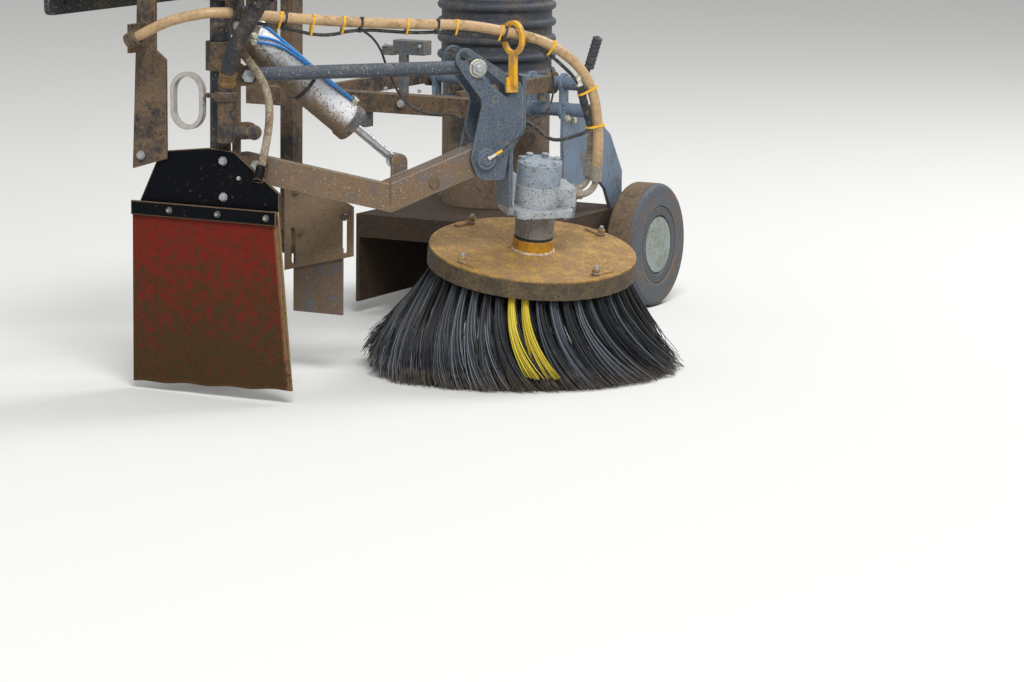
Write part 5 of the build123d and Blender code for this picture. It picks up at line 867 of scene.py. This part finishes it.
random = np.random.default_rng(7)
rings = len(TUFTS_PER_RING)
ring_of = np.repeat(np.arange(rings), TUFTS_PER_RING)
order = np.concatenate([np.arange(n) for n in TUFTS_PER_RING])
tuft_angle = FIRST_TUFT + 2 * np.pi * (order + 0.5 * (ring_of % 2)) / np.array(TUFTS_PER_RING)[ring_of]
tuft_root = np.array(ROOT_RADII)[ring_of]
tufts = len(ring_of)
spot = random.uniform(0, 2 * np.pi, (tufts, FILAMENTS_PER_TUFT))
out = np.sqrt(random.uniform(0, 1, (tufts, FILAMENTS_PER_TUFT)))
root_radius = tuft_root[:, None] + TUFT_RADIUS * out * np.cos(spot)
root_angle = tuft_angle[:, None] + TUFT_HALF_WIDTH * out * np.sin(spot) / tuft_root[:, None]
spread = RING_FAN * (ROOT_RADII[0] - tuft_root[:, None])
tip_radius = TIP_RADIUS - spread + TIP_SPREAD * (out * np.cos(spot) - 0.5)
stray = TUFT_STRAY * random.normal(size=(tufts, 1))
tip_angle = root_angle + TRAIL_ANGLE + TIP_TWIST * out * np.sin(spot) + stray
length = FILAMENT_LENGTH * (1 - 0.04 * random.uniform(0, 1, root_radius.shape))
fall = np.sqrt(np.maximum(length**2 - (tip_radius - root_radius) ** 2, 1e-6))
# Each filament is worn off where it meets the road: at the share of its length at which the height
# of its tip, above the road, comes to nothing.
road = GROUND + ROAD_GAP + TIP_UNEVENNESS * random.uniform(0, 1, root_radius.shape)
worn_at = np.ones_like(fall)
for _ in range(6):
    tip_y = (root_radius + (tip_radius - root_radius) * worn_at**OUTWARD_POWER) * np.sin(
        root_angle + (tip_angle - root_angle) * worn_at**TRAIL_POWER
    )
    tip_z = BROOM_CENTRE[2] + tip_y * BROOM_BACK[2] + (ROOT_DEPTH - fall * worn_at) * BROOM_AXIS[2]
    worn_at = np.clip(worn_at - (road - tip_z) / (fall * BROOM_AXIS[2]), 0.5, 1.0)
worn_at[list(YELLOW_TUFTS)] *= YELLOW_SHARE
# At the share t of its length a filament has fallen evenly by t of its fall, its distance from the
# axis has grown by t to OUTWARD_POWER, and its angle has trailed by t to TRAIL_POWER.
t = np.linspace(0, 1, STEPS) * worn_at[..., None]
radius = root_radius[..., None] + (tip_radius - root_radius)[..., None] * t**OUTWARD_POWER
angle = root_angle[..., None] + (tip_angle - root_angle)[..., None] * t**TRAIL_POWER
drop = ROOT_DEPTH - fall[..., None] * t
flat_x, flat_y = radius * np.cos(angle), radius * np.sin(angle)
lines = BROOM_CENTRE + flat_x[..., None] * ALONG + flat_y[..., None] * BROOM_BACK + drop[..., None] * BROOM_AXIS
lines[..., 2] = np.maximum(lines[..., 2], road[..., None])
lines = lines.reshape(-1, STEPS, 3)
run = np.gradient(lines, axis=1)
run /= np.linalg.norm(run, axis=-1, keepdims=True)
across = np.cross(run, BROOM_AXIS)
across /= np.linalg.norm(across, axis=-1, keepdims=True)
over = np.cross(across, run)
taper = (FILAMENT_WIDTH / 2 * (1 - 0.35 * np.linspace(0, 1, STEPS)))[None, :, None]
corner = np.arange(3) * 2 * np.pi / 3
sections = lines[:, :, None] + taper[..., None] * (
    np.cos(corner)[:, None] * across[:, :, None] + np.sin(corner)[:, None] * over[:, :, None]
)
faces_of_one = np.array(grid_faces(STEPS, 3))
caps = np.array([[0, 2, 1], [(STEPS - 1) * 3, (STEPS - 1) * 3 + 1, (STEPS - 1) * 3 + 2]])

# Extruded polypropylene: near black with a faint shine, dustier towards the tips. The attribute tint gives each
# filament its own tone, and the pale blue-grey tones of the outer rings are painted sheen.
bristle_fibre = bpy.data.materials.new("black_polypropylene_filament")
bristle_fibre.use_nodes = True
tree = bristle_fibre.node_tree
tree.nodes.clear()
tint_and_sheen = add(tree, "Attribute", {"attribute_name": "tint_and_sheen"}, None, "Color")
place = add(tree, "TexCoord", out="Object")
dirt = add(tree, "TexNoise", None, {"Vector": place, "Scale": 60.0, "Detail": 5.0})
height = add(tree, "SeparateXYZ", None, {0: place}, "Z")
low = add(tree, "MapRange", None, {0: height, 1: -0.82, 2: -0.878, 3: 0.0, 4: 0.30})
dirt = add(tree, "Math", {"operation": "MULTIPLY_ADD"}, {0: dirt, 1: 0.6, 2: low})
dirt = add(tree, "MapRange", None, {0: dirt, 1: 0.38, 2: 0.75, 4: 0.7})
colour = add(tree, "Mix", {"data_type": "RGBA"}, {0: dirt, 6: tint_and_sheen, 7: paint("#7b6a56")}, 2)
dull = add(tree, "MapRange", None, {0: dirt, 3: 0.38, 4: 0.8})
surface = add(tree, "BsdfPrincipled", None, {"Base Color": colour, "Roughness": dull})
add(tree, "OutputMaterial", None, {"Surface": surface})

# The two palest blue-grey outer tones are painted sheen on the filaments; the inner rings take only dark tones.
OUTER_TONES_AND_SHEEN = ("#141517", "#191a1d", "#212327", "#31353b", "#535a64", "#7d8691")
INNER_TONES = ("#141517", "#1b1d20", "#24272b", "#2f3338", "#1a1b1e", "#202226")
YELLOW_TONES = ("#c9b22a", "#dcc93a", "#d3bf34", "#b79f2c", "#e0cf4c", "#cdb733")
# Each tuft, and each filament in it, leans by chance towards the paler tones, so the painted sheen falls on some
# tufts more than on others.
lean = random.uniform(0.0, 0.62, (tufts, 1)) + random.uniform(-0.35, 0.5, (tufts, FILAMENTS_PER_TUFT))
pick = np.clip(lean * len(OUTER_TONES_AND_SHEEN), 0, len(OUTER_TONES_AND_SHEEN) - 1).astype(int)
ring_tones_and_sheen = np.array([[paint(c) for c in pair] for pair in (OUTER_TONES_AND_SHEEN, OUTER_TONES_AND_SHEEN, INNER_TONES, INNER_TONES)])
strand_tone_and_sheen = ring_tones_and_sheen[ring_of[:, None], pick]
strand_tone_and_sheen[list(YELLOW_TUFTS)] = np.array([paint(c) for c in YELLOW_TONES])[pick[list(YELLOW_TUFTS)]]
for ring_number in range(rings):
    mine = ring_of == ring_number
    strands = sections.reshape(tufts, FILAMENTS_PER_TUFT, STEPS * 3, 3)[mine].reshape(-1, STEPS * 3, 3)
    starts = (np.arange(len(strands)) * STEPS * 3)[:, None, None]
    strand_faces = (faces_of_one[None] + starts).reshape(-1, 4).tolist()
    strand_faces += (caps[None] + starts).reshape(-1, 3).tolist()
    ring_name = f"bristle_ring_{ring_number + 1}"
    ring_piece = add_piece(ring_name, strands, strand_faces, bristle_fibre, "broom", "black_bristle")
    per_point = np.repeat(strand_tone_and_sheen[mine].reshape(-1, 4), STEPS * 3, axis=0)
    attribute = ring_piece.data.attributes.new("tint_and_sheen", "FLOAT_COLOR", "POINT")
    attribute.data.foreach_set("color", per_point.ravel())
    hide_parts("bristles")

# Front flap, its bracket and clamp strip
# A sheet of red rubber hangs from a black plate on the post, held by a strip and three bolts. Its
# foot is scuffed and caked.

# Powder coat: a deep black without shine, edged with tan dust.
black_plate = soiled(
    "black_powder_coat", ("#07090d", "#0d1015"), ("#3d352d", "#5a4d3f"),
    cover=-0.25, roughness=0.42, worn="#8a7459", wear=1.7, splash="#4d4439", splash_share=0.05, patch=0.05,
    edge=0.0045, gloss=0.06,
)
# Rolled rubber sheet: matt dark red, tan along its outer edge, with brown mottling that thickens
# towards the foot.
red_rubber = soiled(
    "red_rubber_sheet", ("#631a12", "#702116"), ("#3a2c18", "#463520"),
    cover=0.10, worn="#8d7457", wear=1.2, splash="#5a2417", splash_size=0.004, splash_share=0.30,
    wet=(-0.50, -0.86, 0.40), patch=0.02, soft=0.17, gloss=0.12,
    zones=[((0.573, 0.0, -0.480), (0.9958, 0.0, 0.0913), -0.009, 0.05, ("#8d7457", "#77603f"), -0.3, 0.005)],
)
dress(black_plate, "flap_bracket", "clamp_strip")
FLAP_INNER, FLAP_OUTER, FLAP_FLARE, FLAP_TOP, FLAP_FACE = 0.217, 0.573, 0.034, -0.480, -0.330
FLAP_FOOT_INNER, FLAP_FOOT_OUTER = -0.865, -0.851
FLAP_THICKNESS, FLAP_COUNT = 0.008, 49
FLAP_WAVE, FLAP_BELLY, FLAP_RAGGEDNESS = 0.0045, 0.003, 0.0015
# The sheet is a grid of s, from its inner to its outer edge, and t, from its top to its foot. The
# outer edge flares with t, and a sine of s that grows with t squared waves the sheet.
across_flap = np.linspace(0, 1, FLAP_COUNT)
s, t = np.meshgrid(across_flap, across_flap)
edge_x = FLAP_OUTER + FLAP_FLARE * t
flap_x = FLAP_INNER + (edge_x - FLAP_INNER) * s
wave = FLAP_WAVE * t**2 * np.sin(2.2 * np.pi * s + 0.4) - FLAP_BELLY * np.sin(np.pi * t) * np.sin(np.pi * s)
wave = np.minimum(wave, 0.0) * (t > 0.1)
foot = FLAP_FOOT_INNER + (FLAP_FOOT_OUTER - FLAP_FOOT_INNER) * s
flap_z = FLAP_TOP + (foot - FLAP_TOP) * t + FLAP_RAGGEDNESS * t**4 * np.sin(23 * s)
front = np.stack([flap_x, FLAP_FACE - FLAP_THICKNESS / 2 + 0.5 * wave, flap_z], -1)
back = np.stack([flap_x, FLAP_FACE + FLAP_THICKNESS / 2 + 0.5 * wave, flap_z], -1)
size = FLAP_COUNT
inner = np.array(grid_faces(size, size, wrap=False))
border = np.concatenate(
    [
        np.arange(size),
        np.arange(1, size) * size + size - 1,
        (size - 1) * size + np.arange(size - 2, -1, -1),
        np.arange(size - 2, 0, -1) * size,
    ]
)
after = np.roll(border, -1)
band = np.stack([border, border + size * size, after + size * size, after], -1)
flap_faces = inner[:, ::-1].tolist() + (inner + size * size).tolist() + band.tolist()
flap_points = np.concatenate([front, back])
flap_piece = add_piece("rubber_flap_sheet", flap_points, flap_faces, red_rubber, "frame", "red_rubber")
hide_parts("flap")

# Side plate, lower plate and valves
# Slotted steel plates that shield the nozzle, brown with dried mud, and two cast valves.

# Galvanised sheet of which hardly any shows through dried tan mud.
side_mud = soiled(
    "galvanised_plate_under_dried_mud", ("#6c6a66", "#5a5a59"), ("#8f7a60", "#766350"),
    cover=0.98, worn="#8f7e68", wear=0.9, splash="#877259", splash_size=0.006, splash_share=0.2, patch=0.06,
)
# Rolled plate: blue-grey that shows in patches through a brown film.
lower_steel = soiled(
    "blue_grey_steel_plate", ("#525d68", "#626d77"), ("#625241", "#736150"),
    cover=0.78, roughness=0.48, worn="#8d9194", wear=0.8, splash="#7d6d5a", splash_size=0.007,
    splash_share=0.25, patch=0.06,
)
# Painted sand casting: dark grey with rubbed corners.
valve_grey = soiled(
    "dark_valve_casting", ("#454a50", "#5a6066"), ("#6d6050", "#7d6f5c"),
    cover=0.28, roughness=0.5, worn="#8c9195", wear=0.9, splash="#2c2f33", splash_share=0.3,
)
dress(side_mud, "side_plate")
dress(lower_steel, "side_plate_lower")
dress(valve_grey, "valve_block", "lower_valve")
side_nuts = [(0.417, 0, -0.484), (0.428, 0, -0.571), (0.538, 0, -0.531)]
turned_piece("side_plate_nuts", STRIP_NUT, side_nuts, FRONT, dusty_paint, "frame")
valve_screws = [(x, 0.450, z) for x in (0.382, 0.469) for z in (-0.202, -0.301)]
turned_piece("valve_screws", SMALL_HEAD, valve_screws, FRONT, bolt_zinc, "frame")
turned_piece("beam_bolt", BOLT_HEAD, (0.422, 0.450, -0.333), FRONT, bolt_zinc, "frame")

# Suction nozzle: shaft, frame, end casting, box and duct
# A cast end and a steel box hung from a cross shaft, in blue-grey paint, with a ribbed rubber
# sleeve on its duct.

# Sprayed paint on a casting: blue-grey, rubbed pale on its edges, spattered from below.
nozzle_paint = soiled(
    "blue_grey_nozzle_paint", ("#566779", "#68798b"), ("#716252", "#5a4d40"),
    cover=0.14, roughness=0.45, worn="#a5adb4", wear=1.0, splash="#46494d", splash_size=0.007, splash_share=0.3,
    wet=(-0.56, -0.80, 0.35), patch=0.06,
)
# Folded steel: near black under brown mud, with paler brown splashes; the steel and mud tones are both painted
# darker as painted shade for the shadow that the box sits in.
nozzle_box_painted_shade = soiled(
    "nozzle_steel_under_mud_painted_dark_for_shade", ("#2d2c2b", "#343332"), ("#4a3b2d", "#382c22"),
    cover=0.72, worn="#85765f", wear=0.8, splash="#5a4b3a", splash_size=0.007, splash_share=0.2, patch=0.06,
    gloss=0.2,
)
# Moulded ribbed rubber: slate grey with dusty ribs.
sleeve_rubber = soiled(
    "ribbed_black_rubber", ("#2e333a", "#3e444c"), ("#554c43", "#6b5f52"),
    cover=0.22, worn="#5f6266", wear=0.6, patch=0.06, edge=0.004,
)
dress(nozzle_paint, "nozzle_shaft", "nozzle_frame", "nozzle_end")
dress(nozzle_box_painted_shade, "nozzle_housing")
dress(dusty_paint, "suction_duct")
dress(sleeve_rubber, "suction_sleeve")
OUTBOARD = (1, 0, 0)
cream_bolts = [(0.590, 0.941, -0.400), (0.590, 0.972, -0.408)]
turned_piece("nozzle_end_bolts", BOLT_HEAD, cream_bolts, OUTBOARD, zinc_cream, "nozzle")
grey_bolts = [(0.590, 1.079, -0.513), (0.590, 1.062, -0.464)]
turned_piece("nozzle_end_nuts", NUT_AND_STUD, grey_bolts, OUTBOARD, bolt_zinc, "nozzle")
LEVER_FOOT, LEVER_TOP = np.array((0.632, 0.955, -0.302)), np.array((0.661, 0.955, -0.209))
LEVER_STEM = [(5.0, -4, 0), (5.0, 22, 0)]
# The lever's grip swells between a groove every 10 mm, by the sine of the height.
grip = np.linspace(20, 100, 41)
grip_radius = 10.5 + 1.5 * np.abs(np.sin(grip * np.pi / 10)) - 5 * (grip > 97) - 3 * (grip < 21)
grip_rows = np.stack([grip_radius, grip, 0 * grip], -1)
LEVER_ROWS = LEVER_STEM + grip_rows.tolist()
turned_piece("hand_lever", LEVER_ROWS, LEVER_FOOT, LEVER_TOP - LEVER_FOOT, sleeve_rubber, "nozzle")

# Jockey wheels
# Solid rubber tyres on cast hubs with pressed covers, worn by the road and caked on the tread.
WHEEL_CENTRE = (0.648, 1.250, -0.730)
# Moulded solid rubber: slate grey on its outer side, caked brown across the tread.
tyre_rubber = soiled(
    "solid_rubber_tyre", ("#3d444c", "#505861"), ("#75634f", "#5c4c3d"),
    cover=0.30, worn="#93826b", wear=1.7, splash="#7a6b59", splash_size=0.006, splash_share=0.3, patch=0.05,
    edge=0.004,
    zones=[(WHEEL_CENTRE, (-1.0, 0.0, 0.0), -0.026, 0.050, ("#453c34", "#3a342e"), 0.25)],
)
# Enamelled pressing: a smooth pale grey-green under a film of dust.
hub_paint = soiled(
    "pale_hub_cover_enamel", ("#78837e", "#8b9590"), ("#6a6556", "#7d7767"),
    cover=0.28, roughness=0.42,
)
dress(tyre_rubber, "wheel_tyre_outer", "wheel_tyre_inner")
dress(hub_paint, "wheel_hub_outer", "wheel_hub_inner")
# Enamelled steel: dark grey with rubbed edges.
wheel_rim = soiled(
    "dark_rim_enamel", ("#343a40", "#434a51"), ("#6d6152", "#5b5144"),
    cover=0.22, roughness=0.42, worn="#8a8f92", wear=0.8,
)
RIM_RING = [(68, -9, 0), (71, -2, 0), (73.5, 0.6, 0), (90.5, 0.9, 0), (93.5, 0.2, 0), (93.5, -9, 0)]
rim_place = (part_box("wheel_hub_outer")[1][0], *WHEEL_CENTRE[1:])
turned_piece("wheel_rim_ring", RIM_RING, rim_place, OUTBOARD, wheel_rim, "wheel_outer", columns=96, ring=True)

# Hose hanger
# A moulded yellow loop that holds the bundle over the fork, muddy inside.

# Moulded polyurethane: a strong yellow under patches of mud.
hanger_yellow = soiled(
    "moulded_yellow_polyurethane", ("#d59a20", "#e0aa2c"), ("#8d7556", "#a58c68"),
    cover=0.25, roughness=0.45, edge=0.003,
)
dress(hanger_yellow, "hose_hanger")
